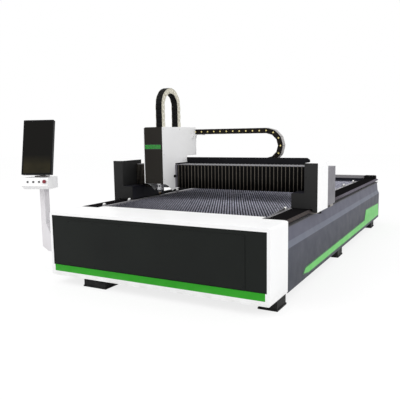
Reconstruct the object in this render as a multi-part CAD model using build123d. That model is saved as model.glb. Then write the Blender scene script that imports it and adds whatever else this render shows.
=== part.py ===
from build123d import *
import os
from math import cos, radians, sin

# Flat-bed fiber laser cutting machine, in millimetres.
# X is across the bed, Y runs from the front housing to the rear, Z is up.
# The origin is on the floor under the middle of the bed.
# Stations are distances from the front face of the bed, towards the rear.
# A side value of 1 is the right-hand side and -1 the left-hand side.

os.makedirs("parts", exist_ok=True)

# Bed, overall
BED_WIDTH = 2300.0
BED_LENGTH = 4850.0
DECK_HEIGHT = 715.0
FOOT_HEIGHT = 90.0
SHEET = 3.0
COVER_SHEET = 4.0
SEAT_GAP = 0.3

HALF_WIDTH = BED_WIDTH / 2
FRONT = -BED_LENGTH / 2
REAR = BED_LENGTH / 2

# Front housing
HOUSING_DEPTH = 415.0
HOUSING_CORNER = 16.0
PANEL_BORDER = 28.0
PANEL_BOTTOM = 195.0
PANEL_RECESS = 7.0
PANEL_THICKNESS = 5.0
STRIP_BOTTOM = 132.0
STRIP_INSET = 14.0
ACCESS_HALF_WIDTH = HALF_WIDTH - 216.0
ACCESS_BOTTOM = 205.0
ACCESS_TOP = DECK_HEIGHT - 67.0
ACCESS_CORNER = 6.0
HOUSING_RETURN = 36.0
DECK_SIDE_LIP = 15.0
DECK_LIP_HALF_WIDTH = HALF_WIDTH - 30.0
DECK_TONGUE_STATION = 535.0

# Bed beams with the rack ledge along their outer top edge
BEAM_INNER_X = HALF_WIDTH - 190.0
BEAM_OUTER_X = HALF_WIDTH - 50.0
BEAM_TOP = DECK_HEIGHT - 85.0
BEAM_START = 40.0
BEAM_END_GAP = 6.0
BEAM_WALL = 10.0
LEDGE_ROOT_X = HALF_WIDTH - 78.0
LEDGE_OUTER_X = HALF_WIDTH - 20.0
LEDGE_TOP = DECK_HEIGHT - 60.0
LEDGE_THICKNESS = 8.0

# Cross members under the bed
CROSS_COUNT = 10
CROSS_WIDTH = 100.0
CROSS_HEIGHT = 60.0
CROSS_WALL = 5.0
CROSS_FIRST_STATION = 110.0
CROSS_LAST_STATION = BED_LENGTH - 110.0

# Machine feet
FOOT_OUTER_X = HALF_WIDTH - 3.0
FOOT_WIDTH = 175.0
FOOT_LENGTH = 220.0
FOOT_PAD = 14.0
FOOT_PAD_EDGE = 6.0
FRONT_FOOT_STATION = 175.0
MIDDLE_FOOT_STATION = 2197.0
REAR_FOOT_STATION = BED_LENGTH - 591.0
LEFT_FRONT_FOOT_X = -HALF_WIDTH + 496.5
LEFT_FRONT_FOOT_WIDTH = 271.0
LEFT_FRONT_FOOT_STATION = 40.0

# Side panels
PANEL_CREASE_Z = DECK_HEIGHT - 240.0
PANEL_BAND_Z = DECK_HEIGHT - 190.0
PANEL_BAND_LEAN = 22.0
PANEL_TOP_LEAN = 35.0

# Green side stripes
STRIPE_THICKNESS = 2.0
STRIPE_LOW_Z = 117.0
STRIPE_TIP_Z = 145.0
STRIPE_TIP_TOP_Z = 201.0
STRIPE_TOP_Z = 214.0
STRIPE_BLOCK_Z = 353.0
STRIPE_BLOCK_REAR_Z = 326.0
STRIPE_TIP_STATION = 833.0
STRIPE_TIP_TOP_STATION = 918.0
STRIPE_LOW_STATION = 1010.0
STRIPE_RISE_STATION = BED_LENGTH - 1150.0
STRIPE_BLOCK_STATION = BED_LENGTH - 1064.0
STRIPE_REAR_STATION = BED_LENGTH - 73.0
STRIPE_END_STATION = BED_LENGTH - 6.0

# Rail covers
RAIL_COVER_INNER_X = HALF_WIDTH - 200.0
RAIL_COVER_FOLD_X = HALF_WIDTH - 30.0
RAIL_COVER_LIP_Z = DECK_HEIGHT - 20.0
RAIL_COVER_LIP = 4.0
RAIL_COVER_FLANGE = 32.0
RAIL_COVER_START = 432.0
RAIL_COVER_END = BED_LENGTH - 100.0
END_BLOCK_START = BED_LENGTH - 200.0
END_BLOCK_HEIGHT = 50.0
END_BLOCK_CHAMFER = 10.0

# Longitudinal guides on the bed beams
Y_RAIL_X = HALF_WIDTH - 120.0
Y_RAIL_WIDTH = 23.0
Y_RAIL_HEIGHT = 18.0
Y_RAIL_WAIST = 3.0
Y_RAIL_START = 440.0
Y_RAIL_END = BED_LENGTH - 210.0
Y_SLIDER_WIDTH = 60.0
Y_SLIDER_LENGTH = 110.0
Y_SLIDER_FLOOR = 6.0
RUNNING_GAP = 0.1
Y_RACK_DEPTH = 24.0
Y_RACK_HEIGHT = 18.0

# Slat table
TABLE_HALF_WIDTH = HALF_WIDTH - 242.0
TABLE_RAIL_TOP = DECK_HEIGHT - 3.0
TABLE_RAIL_BOTTOM = DECK_HEIGHT - 155.0
TABLE_RAIL_WALL = 5.0
TABLE_RAIL_FLANGE = 37.0
TABLE_END = BED_LENGTH - 650.0
SLAT_HALF_LENGTH = TABLE_HALF_WIDTH - 3.0
SLAT_THICKNESS = 3.0
SLAT_BASE_Z = DECK_HEIGHT - 115.0
SLAT_TOOTH_DEPTH = 26.0
SLAT_TEETH = 12
SLAT_PITCH = 60.0
SLAT_FIRST_STATION = 560.0
BEARER_WIDTH = 40.0
BEARER_SPACING = 450.0
TABLE_TUBE_COUNT = 9
TABLE_TUBE_WIDTH = 60.0
TABLE_TUBE_HEIGHT = 60.0
TABLE_LEDGE = 16.0
ROLLER_RADIUS = 15.0
ROLLER_WIDTH = 22.0
ROLLER_CHEEK = 5.0
ROLLER_BASE = 44.0
ROLLER_TOP = DECK_HEIGHT + 30.0
FIRST_ROLLER_STATION = 1000.0
SECOND_ROLLER_STATION = 2045.0
THIRD_ROLLER_STATION = BED_LENGTH - 1450.0
FOURTH_ROLLER_STATION = BED_LENGTH - 850.0
LEFT_ROLLER_STATION = 560.0
GUIDE_RAMP_END = FIRST_ROLLER_STATION - 31.0
GUIDE_RAMP_HEIGHT = 28.0
GUIDE_RAMP_WIDTH = 8.0

# Slag plates under the table
SLAG_PLATE_COUNT = 4
SLAG_PLATE_HALF_WIDTH = SLAT_HALF_LENGTH - 5.0
SLAG_PLATE_THICKNESS = 4.0
SLAG_PLATE_GAP = 20.0

# Rear end
REAR_PANEL_HALF_WIDTH = HALF_WIDTH - 52.0
CROSSBAR_HALF_WIDTH = HALF_WIDTH - 203.0
CROSSBAR_STATION = BED_LENGTH - 90.0
CROSSBAR_HEIGHT = 43.0

# Gantry ends
GANTRY_STATION = 1095.0
GANTRY_HALF_WIDTH = HALF_WIDTH + 55.0
END_COVER_WIDTH = 129.0
END_COVER_DEPTH = 375.0
END_COVER_TOP = DECK_HEIGHT + 443.0
SKIRT_BOTTOM = DECK_HEIGHT - 26.0
SKIRT_INNER_X = HALF_WIDTH + 8.25
REAR_COVER_STATION = 1767.0
REAR_COVER_TOP = DECK_HEIGHT + 380.0
REAR_COVER_BOTTOM = DECK_HEIGHT - 8.0
SADDLE_INNER_X = HALF_WIDTH - 203.0
SADDLE_OUTER_X = HALF_WIDTH + 40.0
SADDLE_BOTTOM = DECK_HEIGHT + 6.0
SADDLE_TOP = DECK_HEIGHT + 151.0
SADDLE_SEAT = DECK_HEIGHT + 127.0
SADDLE_SEAT_STATION = 1350.0
SADDLE_WALL = 16.0
FOOT_PLATE_BOTTOM = DECK_HEIGHT - 40.0
FOOT_PLATE_THICKNESS = 12.0
FOOT_PLATE_INNER_X = HALF_WIDTH - 146.0
FOOT_WEB_INNER_X = HALF_WIDTH + 7.0
FOOT_BRACKET_LENGTH = 115.0
FOOT_BRACKET_SETBACK = 15.0

# Longitudinal drives
Y_PINION_X = HALF_WIDTH + 12.0
Y_PINION_STATION = 1282.0
Y_PINION_HEIGHT = 15.0
Y_PINION_GAP = 0.3
PINION_SHAFT_RADIUS = 8.0
SHAFT_BORE_RADIUS = 12.0
Y_MOTOR_SIZE = 76.0
Y_MOTOR_HEIGHT = 190.0
MOTOR_FLANGE = 10.0

# Gantry beam and its guides
BEAM_STATION = 1400.0
BEAM_DEPTH = 300.0
X_BEAM_TOP = DECK_HEIGHT + 383.0
X_BEAM_HALF_LENGTH = HALF_WIDTH - 80.0
X_RAIL_HALF_LENGTH = HALF_WIDTH - 90.0
X_RAIL_DEPTH = 16.0
X_RAIL_HEIGHT = 20.0
X_RAIL_LOWER_Z = DECK_HEIGHT + 190.0
X_RAIL_UPPER_Z = DECK_HEIGHT + 330.0
X_RACK_TOP = DECK_HEIGHT + 381.0
X_RACK_HEIGHT = 18.0

# Pleated way covers
BELLOWS_STATION = 1355.0
BELLOWS_BOTTOM = SADDLE_SEAT + 0.5
BELLOWS_TOP = DECK_HEIGHT + 395.0
BELLOWS_INNER_STATION = 1381.0
BELLOWS_BACK_STATION = 1612.0
BELLOWS_WALL = 4.0
BELLOWS_END_X = GANTRY_HALF_WIDTH - END_COVER_WIDTH - SEAT_GAP
RIGHT_PLEATS = 30
LEFT_PLEATS = 13

# Cable tray on the beam
CABLE_TRAY_LEFT_X = -HALF_WIDTH + 200.0
CABLE_TRAY_RIGHT_X = HALF_WIDTH - 183.0
CABLE_TRAY_STATION = 1646.0
CABLE_TRAY_DEPTH = 314.0
CABLE_TRAY_HEIGHT = 84.0
CABLE_TRAY_REAR_HEIGHT = 22.0
CABLE_TRAY_CHAMFER_X = 28.0
CABLE_TRAY_CHAMFER_Z = 21.0

# Carriage cover
COVER_LEFT_X = -HALF_WIDTH + 373.5
COVER_WIDTH = 247.5
COVER_STATION = 1101.0
COVER_TOP = DECK_HEIGHT + 820.0
COVER_REAR_STATION = 1870.0
COVER_REAR_BOTTOM = DECK_HEIGHT + 485.0
COVER_STEP_STATION = 1640.0
COVER_STEP_BOTTOM = DECK_HEIGHT + 410.0
COVER_BACK_STATION = 1370.0
COVER_BACK_BOTTOM = DECK_HEIGHT + 122.0
COVER_TOE_STATION = 1296.0
COVER_TOE_BOTTOM = DECK_HEIGHT + 100.0
COVER_FRONT_BOTTOM = DECK_HEIGHT + 194.0
COVER_ARCH_BACK = 8.0
COVER_ARCH_RISE = 22.0
FACE_PANEL_MARGIN = 12.0
FACE_PANEL_CORNER = 22.0
FACE_PANEL_THICKNESS = 4.0
DISPLAY_BOTTOM = DECK_HEIGHT + 573.0
DISPLAY_HEIGHT = 59.0
DISPLAY_LEFT_MARGIN = 20.0
DISPLAY_RIGHT_MARGIN = 20.0
DISPLAY_THICKNESS = 3.0
LATCH_STATION = 1345.0
LATCH_Z = DECK_HEIGHT + 263.0
LATCH_RADIUS = 17.0
LATCH_GRIP_RADIUS = 11.0
LATCH_DEPTH = 22.0

# Carriage and its slides
CARRIAGE_FACE_STATION = 1348.0
CARRIAGE_PLATE = 20.0
CARRIAGE_BOTTOM = DECK_HEIGHT + 130.0
CARRIAGE_TOP = DECK_HEIGHT + 500.0
X_SLIDER_WIDTH = 60.0
X_SLIDER_HEIGHT = 50.0
X_SLIDER_INSET = 36.0
X_SLIDER_REACH = 9.0
HEAD_X = COVER_LEFT_X + 130.5
HEAD_STATION = 1215.0
Z_RAIL_SPACING = 68.0
Z_RAIL_WIDTH = 12.0
Z_RAIL_DEPTH = 12.0
Z_RAIL_BOTTOM = DECK_HEIGHT + 145.0
Z_RAIL_TOP = DECK_HEIGHT + 455.0
Z_SLIDER_WIDTH = 24.0
Z_SLIDER_HEIGHT = 60.0
Z_SLIDER_REACH = 5.0
Z_PLATE_STATION = 1285.0
Z_PLATE_THICKNESS = 18.0
Z_PLATE_WIDTH = 108.0
Z_PLATE_BOTTOM = DECK_HEIGHT + 135.0
Z_PLATE_TOP = DECK_HEIGHT + 360.0
SCREW_STATION = 1325.0
SCREW_RADIUS = 8.0
SCREW_BOTTOM = DECK_HEIGHT + 155.0
NUT_WIDTH = 30.0
NUT_HEIGHT = 50.0
NUT_BOTTOM = DECK_HEIGHT + 245.0
MOTOR_PLATE_Z = DECK_HEIGHT + 465.0
MOTOR_PLATE_THICKNESS = 15.0
Z_MOTOR_SIZE = 60.0
Z_MOTOR_HEIGHT = 150.0
X_MOTOR_X = COVER_LEFT_X + 41.5
X_MOTOR_SIZE = 68.0
X_MOTOR_LENGTH = 120.0
X_PINION_RADIUS = 24.0
X_PINION_WIDTH = 12.0

# Cutting head
HEAD_RADIUS = 34.0
HEAD_BODY_BOTTOM = DECK_HEIGHT + 102.0
HEAD_BODY_TOP = DECK_HEIGHT + 325.0
HEAD_NECK_RADIUS = 27.0
HEAD_TOP = DECK_HEIGHT + 450.0
HEAD_MOUNT_WIDTH = 60.0
HEAD_MOUNT_HEIGHT = 120.0
HEAD_MOUNT_BOTTOM = DECK_HEIGHT + 185.0
NOZZLE_TIP = DECK_HEIGHT + 59.0
NOZZLE_TIP_RADIUS = 5.0
NOZZLE_SHOULDER = DECK_HEIGHT + 77.0
NOZZLE_SHOULDER_RADIUS = 15.0
NOZZLE_TOP = DECK_HEIGHT + 85.0
NOZZLE_BORE_RADIUS = 1.5
HEAD_CONE_RADIUS = 20.0

# Drag chains
CHAIN_WIDTH = 90.0
CHAIN_HEIGHT = 62.0
CHAIN_WALL = 5.0
CHAIN_BAND_INSET = 4.0
CHAIN_LINK_GAP = 5.0
CHAIN_BAR = 26.0
X_CHAIN_STATION = 1850.0
X_CHAIN_START_X = COVER_LEFT_X + COVER_WIDTH + 4.0
X_CHAIN_TOP_Z = DECK_HEIGHT + 795.0
X_CHAIN_TURN_X = 393.0
X_CHAIN_RADIUS = 171.0
X_CHAIN_ANCHOR_X = 150.0
X_CHAIN_UPPER_LINKS = 11
X_CHAIN_TURN_LINKS = 6
X_CHAIN_LOWER_LINKS = 3
CHAIN_ARM_LENGTH = 90.0
CHAIN_ARM_PLATE = 8.0
Z_CHAIN_LEFT_X = COVER_LEFT_X + 126.5
Z_CHAIN_TURN_STATION = 1365.0
Z_CHAIN_TURN_Z = DECK_HEIGHT + 1060.0
Z_CHAIN_RADIUS = 167.0
Z_CHAIN_LEG_LINKS = 4
Z_CHAIN_TURN_LINKS = 9

# Operator console
CONSOLE_X = -HALF_WIDTH - 426.0
CONSOLE_STATION = 361.0
CONSOLE_YAW = 21.7
COLUMN_SIZE = 68.0
COLUMN_TOP = 905.0
ARM_BOTTOM = 216.0
ARM_TOP = 336.0
ARM_GUSSET_X = 30.0
ARM_GUSSET_TOP = 520.0
COLUMN_CHAMFER_X = 85.0
COLUMN_CHAMFER_Z = 48.0
CONSOLE_FLANGE_THICKNESS = 12.0
CONSOLE_FLANGE_WIDTH = 130.0
CONSOLE_FLANGE_MARGIN = 28.0
SWIVEL_RADIUS = 20.0
SWIVEL_LENGTH = 30.0
DESK_WIDTH = 280.0
DESK_REACH = 232.0
DESK_BACK = 45.0
DESK_HEIGHT = 120.0
DESK_FACE_LEAN = 26.0
DESK_FACE_BOTTOM = 40.0
DESK_UNDERCUT = 60.0
DESK_CORNER = 10.0
BUTTON_RADIUS = 9.0
BUTTON_HEIGHT = 8.0
BUTTON_PITCH = 62.0
BUTTON_FIRST = -78.0
BUTTON_DROP = 42.0
STOP_RADIUS = 19.0
STOP_NECK_RADIUS = 11.0
STOP_HEIGHT = 24.0
STOP_HEAD = 14.0
BUTTON_TRAVEL_GAP = 5.0
BRACKET_BASE_WIDTH = 145.0
BRACKET_BASE_DEPTH = 55.0
BRACKET_BASE_HEIGHT = 12.0
BRACKET_POST_WIDTH = 60.0
BRACKET_POST_DEPTH = 22.0
TILT_PIN_RADIUS = 8.0
TILT_EAR_THICKNESS = 12.0
TILT_EAR_RADIUS = 20.0
MONITOR_WIDTH = 330.0
MONITOR_HEIGHT = 582.0
MONITOR_DEPTH = 44.0
MONITOR_BEZEL = 16.0
MONITOR_CORNER = 8.0
MONITOR_TILT = 13.1
MONITOR_CENTRE_Z = 1336.0
MONITOR_FORWARD = 87.0
GLASS_THICKNESS = 4.0
GLASS_RECESS = 1.5


def station(distance):
    """Y position of a distance measured from the front face of the bed."""
    return FRONT + distance


def block(x0, x1, y0, y1, z0, z1):
    """Rectangular solid between two corners."""
    size = Box(abs(x1 - x0), abs(y1 - y0), abs(z1 - z0))
    return Pos((x0 + x1) / 2, (y0 + y1) / 2, (z0 + z1) / 2) * size


def along_y(outline, y0, y1):
    """Extrude an outline drawn in X and Z from y0 to y1."""
    plane = Plane(origin=(0, y1, 0), x_dir=(1, 0, 0), z_dir=(0, -1, 0))
    return extrude(plane * outline, amount=y1 - y0)


def along_x(outline, x0, x1):
    """Extrude an outline drawn in Y and Z from x0 to x1."""
    plane = Plane(origin=(x0, 0, 0), x_dir=(0, 1, 0), z_dir=(1, 0, 0))
    return extrude(plane * outline, amount=x1 - x0)


def along_z(outline, z0, z1):
    """Extrude an outline drawn in X and Y from z0 to z1."""
    return extrude(Pos(0, 0, z0) * outline, amount=z1 - z0)


def outline(*points):
    """Closed flat outline through the given corners."""
    return make_face(Polyline(*points, close=True))


def folded(thickness, *points):
    """Cross-section of a folded sheet: its outer face follows the given line.

    The sheet lies on the left of the line's direction of travel.
    """
    line = [Vector(*point) for point in points]
    runs = [(b - a).normalized() for a, b in zip(line, line[1:])]
    sides = [Vector(-run.Y, run.X) for run in runs]
    inner = []
    for i, corner in enumerate(line):
        before = sides[max(i - 1, 0)]
        after = sides[min(i, len(sides) - 1)]
        mitre = (before + after).normalized()
        inner.append(corner + mitre * (thickness / mitre.dot(after)))
    return outline(*[(p.X, p.Y) for p in line + inner[::-1]])


def on_side(side, solid):
    """A right-hand solid for side 1, its mirror image for side -1."""
    return solid if side > 0 else mirror(solid, about=Plane.YZ)


def spread(first, last, count):
    """Evenly spaced values from first to last."""
    return [first + (last - first) * i / (count - 1) for i in range(count)]


def save(name, *solids):
    """Write the solids of one piece or one group of identical pieces."""
    found = [solid for item in solids for solid in item.solids()]
    export_step(found[0] if len(found) == 1 else Compound(children=found), f"parts/{name}.step")


# Derived levels and faces

PANEL_HALF_WIDTH = HALF_WIDTH - PANEL_BORDER
PANEL_TOP = DECK_HEIGHT - PANEL_BORDER
STRIP_HALF_WIDTH = PANEL_HALF_WIDTH - STRIP_INSET
SIDE_PANEL_TOP = LEDGE_TOP - LEDGE_THICKNESS
SLIDER_TOP = FOOT_PLATE_BOTTOM
TABLE_START = DECK_TONGUE_STATION + SHEET
SLAG_PLATE_BOTTOM = FOOT_HEIGHT + CROSS_HEIGHT
BEARER_BOTTOM = SLAT_BASE_Z - TABLE_TUBE_HEIGHT
SLAT_COUNT = 1 + int((TABLE_END - SLAT_PITCH / 2 - SLAT_FIRST_STATION) // SLAT_PITCH)
SADDLE_FRONT = GANTRY_STATION + COVER_SHEET
SADDLE_REAR = REAR_COVER_STATION - SHEET
END_COVER_INNER_X = GANTRY_HALF_WIDTH - END_COVER_WIDTH
END_COVER_REAR = GANTRY_STATION + END_COVER_DEPTH
Y_PINION_RADIUS = Y_PINION_X - LEDGE_OUTER_X - Y_PINION_GAP
COVER_RIGHT_X = COVER_LEFT_X + COVER_WIDTH
INNER_LEFT_X = COVER_LEFT_X + COVER_SHEET
INNER_RIGHT_X = COVER_RIGHT_X - COVER_SHEET
CARRIAGE_BACK = CARRIAGE_FACE_STATION + CARRIAGE_PLATE
DESK_BOTTOM = COLUMN_TOP
DESK_TOP = DESK_BOTTOM + DESK_HEIGHT


# Bed structure


def bed_beam(side):
    """Main box beam with the ledge that carries the rack."""
    section = outline(
        (BEAM_INNER_X, FOOT_HEIGHT),
        (BEAM_OUTER_X, FOOT_HEIGHT),
        (BEAM_OUTER_X, LEDGE_TOP - LEDGE_THICKNESS),
        (LEDGE_OUTER_X, LEDGE_TOP - LEDGE_THICKNESS),
        (LEDGE_OUTER_X, LEDGE_TOP),
        (LEDGE_ROOT_X, LEDGE_TOP),
        (LEDGE_ROOT_X, BEAM_TOP),
        (BEAM_INNER_X, BEAM_TOP),
    )
    beam = along_y(section, station(BEAM_START), REAR - BEAM_END_GAP)
    beam -= block(
        BEAM_INNER_X + BEAM_WALL,
        BEAM_OUTER_X - BEAM_WALL,
        station(BEAM_START) + BEAM_WALL,
        REAR - BEAM_END_GAP - BEAM_WALL,
        FOOT_HEIGHT + BEAM_WALL,
        BEAM_TOP - BEAM_WALL,
    )
    ledge_start = block(
        LEDGE_ROOT_X,
        LEDGE_OUTER_X,
        station(BEAM_START),
        station(RAIL_COVER_START),
        BEAM_TOP,
        LEDGE_TOP,
    )
    return on_side(side, beam - ledge_start)


def cross_members():
    """Rectangular tubes that tie the two beams together near the floor."""
    tubes = []
    for middle in spread(CROSS_FIRST_STATION, CROSS_LAST_STATION, CROSS_COUNT):
        y0 = station(middle - CROSS_WIDTH / 2)
        y1 = station(middle + CROSS_WIDTH / 2)
        top = FOOT_HEIGHT + CROSS_HEIGHT
        tube = block(-BEAM_INNER_X, BEAM_INNER_X, y0, y1, FOOT_HEIGHT, top)
        tube -= block(
            -BEAM_INNER_X,
            BEAM_INNER_X,
            y0 + CROSS_WALL,
            y1 - CROSS_WALL,
            FOOT_HEIGHT + CROSS_WALL,
            top - CROSS_WALL,
        )
        tubes.append(tube)
    return tubes


def foot(x0, x1, start):
    """Cast machine foot with a wider pad on the floor."""
    y0 = station(start)
    y1 = station(start + FOOT_LENGTH)
    top = Rectangle(x1 - x0 - 2 * FOOT_PAD_EDGE, FOOT_LENGTH - 2 * FOOT_PAD_EDGE)
    middle = Pos((x0 + x1) / 2, (y0 + y1) / 2, 0)
    pad = along_z(middle * Rectangle(x1 - x0, FOOT_LENGTH), 0, FOOT_PAD)
    return pad + along_z(middle * top, FOOT_PAD, FOOT_HEIGHT)


def machine_feet():
    """The six feet: three on the right, three on the left."""
    inner = FOOT_OUTER_X - FOOT_WIDTH
    right_stations = (FRONT_FOOT_STATION, MIDDLE_FOOT_STATION, REAR_FOOT_STATION)
    feet = [foot(inner, FOOT_OUTER_X, start) for start in right_stations]
    feet += [foot(-FOOT_OUTER_X, -inner, start) for start in (MIDDLE_FOOT_STATION, REAR_FOOT_STATION)]
    half = LEFT_FRONT_FOOT_WIDTH / 2
    feet.append(foot(LEFT_FRONT_FOOT_X - half, LEFT_FRONT_FOOT_X + half, LEFT_FRONT_FOOT_STATION))
    return feet


# Front housing


def front_openings():
    """Outline of the openings for the front panel and the green strip."""
    panel = Pos(0, (PANEL_BOTTOM + PANEL_TOP) / 2) * Rectangle(2 * PANEL_HALF_WIDTH, PANEL_TOP - PANEL_BOTTOM)
    strip_middle = (STRIP_BOTTOM + PANEL_BOTTOM) / 2
    strip = Pos(0, strip_middle) * Rectangle(2 * STRIP_HALF_WIDTH, PANEL_BOTTOM - STRIP_BOTTOM)
    return panel, strip


def front_housing():
    """White sheet housing with a rounded frame and the front deck."""
    height = DECK_HEIGHT - FOOT_HEIGHT
    middle_z = FOOT_HEIGHT + height / 2
    skin = Pos(0, middle_z) * RectangleRounded(BED_WIDTH, height, HOUSING_CORNER)
    inner_width = BED_WIDTH - 2 * SHEET
    inside = Pos(0, middle_z) * RectangleRounded(inner_width, height - 2 * SHEET, HOUSING_CORNER - SHEET)
    rear = station(HOUSING_DEPTH)
    shell = along_y(skin, FRONT, rear) - along_y(inside, FRONT + SHEET, rear)
    for opening in front_openings():
        shell -= along_y(opening, FRONT, FRONT + SHEET)
    floor_cut = block(
        -HALF_WIDTH + HOUSING_RETURN,
        HALF_WIDTH - HOUSING_RETURN,
        FRONT + HOUSING_RETURN,
        rear,
        FOOT_HEIGHT,
        FOOT_HEIGHT + SHEET,
    )
    shell -= floor_cut
    deck_bottom = DECK_HEIGHT - SHEET
    lip_end = station(HOUSING_DEPTH + DECK_SIDE_LIP)
    lip = block(-DECK_LIP_HALF_WIDTH, DECK_LIP_HALF_WIDTH, rear, lip_end, deck_bottom, DECK_HEIGHT)
    tongue = block(
        -SLAT_HALF_LENGTH,
        SLAT_HALF_LENGTH,
        lip_end,
        station(DECK_TONGUE_STATION),
        deck_bottom,
        DECK_HEIGHT,
    )
    apron = block(
        -SLAT_HALF_LENGTH,
        SLAT_HALF_LENGTH,
        station(DECK_TONGUE_STATION - SHEET),
        station(DECK_TONGUE_STATION),
        SLAT_BASE_Z,
        deck_bottom,
    )
    return shell + lip + tongue + apron


def front_panel():
    """Dark sheet behind the white frame, recessed from its face."""
    face = FRONT + SHEET
    back = FRONT + PANEL_RECESS + PANEL_THICKNESS
    overlap = PANEL_BORDER / 2
    plate = block(
        -PANEL_HALF_WIDTH - overlap,
        PANEL_HALF_WIDTH + overlap,
        face,
        back,
        PANEL_BOTTOM - overlap,
        PANEL_TOP + overlap,
    )
    dish = Pos(0, (PANEL_BOTTOM + PANEL_TOP) / 2) * Rectangle(2 * PANEL_HALF_WIDTH, PANEL_TOP - PANEL_BOTTOM)
    plate -= along_y(dish, face, FRONT + PANEL_RECESS)
    strip_room = block(
        -PANEL_HALF_WIDTH - overlap,
        PANEL_HALF_WIDTH + overlap,
        face,
        back,
        PANEL_BOTTOM - overlap,
        PANEL_BOTTOM,
    )
    return plate - strip_room


def front_access_cover():
    """Removable middle cover that stands proud of the dark panel."""
    height = ACCESS_TOP - ACCESS_BOTTOM
    shape = RectangleRounded(2 * ACCESS_HALF_WIDTH, height, ACCESS_CORNER)
    return along_y(Pos(0, ACCESS_BOTTOM + height / 2) * shape, FRONT + SHEET, FRONT + PANEL_RECESS)


def front_green_strip():
    """Green strip under the dark panel, flush with the frame."""
    return along_y(front_openings()[1], FRONT, FRONT + PANEL_RECESS)


# Side and rear sheet work


def side_panel(side):
    """Long folded side panel with its crease and leaning upper face."""
    section = folded(
        SHEET,
        (BEAM_OUTER_X, FOOT_HEIGHT),
        (HALF_WIDTH, FOOT_HEIGHT),
        (HALF_WIDTH, PANEL_CREASE_Z),
        (HALF_WIDTH - PANEL_BAND_LEAN, PANEL_BAND_Z),
        (HALF_WIDTH - PANEL_TOP_LEAN, SIDE_PANEL_TOP),
        (BEAM_OUTER_X, SIDE_PANEL_TOP),
    )
    return on_side(side, along_y(section, station(HOUSING_DEPTH), REAR))


def side_stripe(side):
    """Green plate along the lower side panel, stepped up at the rear."""
    shape = outline(
        (station(STRIPE_TIP_STATION), STRIPE_TIP_Z),
        (station(STRIPE_TIP_TOP_STATION), STRIPE_TIP_TOP_Z),
        (station(STRIPE_RISE_STATION), STRIPE_TOP_Z),
        (station(STRIPE_BLOCK_STATION), STRIPE_BLOCK_Z),
        (station(STRIPE_REAR_STATION), STRIPE_BLOCK_REAR_Z),
        (station(STRIPE_END_STATION), STRIPE_LOW_Z),
        (station(STRIPE_LOW_STATION), STRIPE_LOW_Z),
    )
    return on_side(side, along_x(shape, HALF_WIDTH, HALF_WIDTH + STRIPE_THICKNESS))


def rear_panel():
    """Sheet that closes the rear end between the side panels."""
    top = TABLE_RAIL_TOP
    plate = block(
        -REAR_PANEL_HALF_WIDTH,
        REAR_PANEL_HALF_WIDTH,
        REAR - BEAM_END_GAP,
        REAR,
        FOOT_HEIGHT,
        SIDE_PANEL_TOP - SHEET,
    )
    upper = block(-CROSSBAR_HALF_WIDTH, CROSSBAR_HALF_WIDTH, REAR - SHEET, REAR, SIDE_PANEL_TOP - SHEET, top)
    shelf_start = station(CROSSBAR_STATION)
    shelf = block(-CROSSBAR_HALF_WIDTH, CROSSBAR_HALF_WIDTH, shelf_start, REAR, top - SHEET, top)
    return plate + upper + shelf


def rear_crossbar():
    """Pale square tube across the rear end."""
    y0 = station(CROSSBAR_STATION)
    top = TABLE_RAIL_TOP + CROSSBAR_HEIGHT
    bar = block(-CROSSBAR_HALF_WIDTH, CROSSBAR_HALF_WIDTH, y0, REAR, TABLE_RAIL_TOP, top)
    hollow = block(
        -CROSSBAR_HALF_WIDTH,
        CROSSBAR_HALF_WIDTH,
        y0 + CROSS_WALL,
        REAR - CROSS_WALL,
        TABLE_RAIL_TOP + CROSS_WALL,
        top - CROSS_WALL,
    )
    return bar - hollow


def rail_cover(side):
    """Dark folded cover over the guide, open towards the outside."""
    section = folded(
        SHEET,
        (HALF_WIDTH, RAIL_COVER_LIP_Z - RAIL_COVER_LIP),
        (HALF_WIDTH, RAIL_COVER_LIP_Z),
        (RAIL_COVER_FOLD_X, DECK_HEIGHT),
        (RAIL_COVER_INNER_X, DECK_HEIGHT),
        (RAIL_COVER_INNER_X, BEAM_TOP),
        (RAIL_COVER_INNER_X + RAIL_COVER_FLANGE, BEAM_TOP),
    )
    cover = along_y(section, station(RAIL_COVER_START), station(RAIL_COVER_END))
    seat = block(
        RAIL_COVER_INNER_X,
        BEAM_INNER_X,
        station(RAIL_COVER_START),
        station(RAIL_COVER_END),
        BEAM_TOP - SHEET,
        BEAM_TOP,
    )
    return on_side(side, cover - seat)


def rail_end_block(side):
    """Dark buffer block on the rear end of the rail cover."""
    shape = block(
        RAIL_COVER_INNER_X,
        RAIL_COVER_FOLD_X,
        station(END_BLOCK_START),
        station(RAIL_COVER_END),
        DECK_HEIGHT,
        DECK_HEIGHT + END_BLOCK_HEIGHT,
    )
    top_edges = shape.edges().filter_by(Axis.Y).group_by(Axis.Z)[-1]
    return on_side(side, chamfer(top_edges, END_BLOCK_CHAMFER))


# Longitudinal guides


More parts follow.
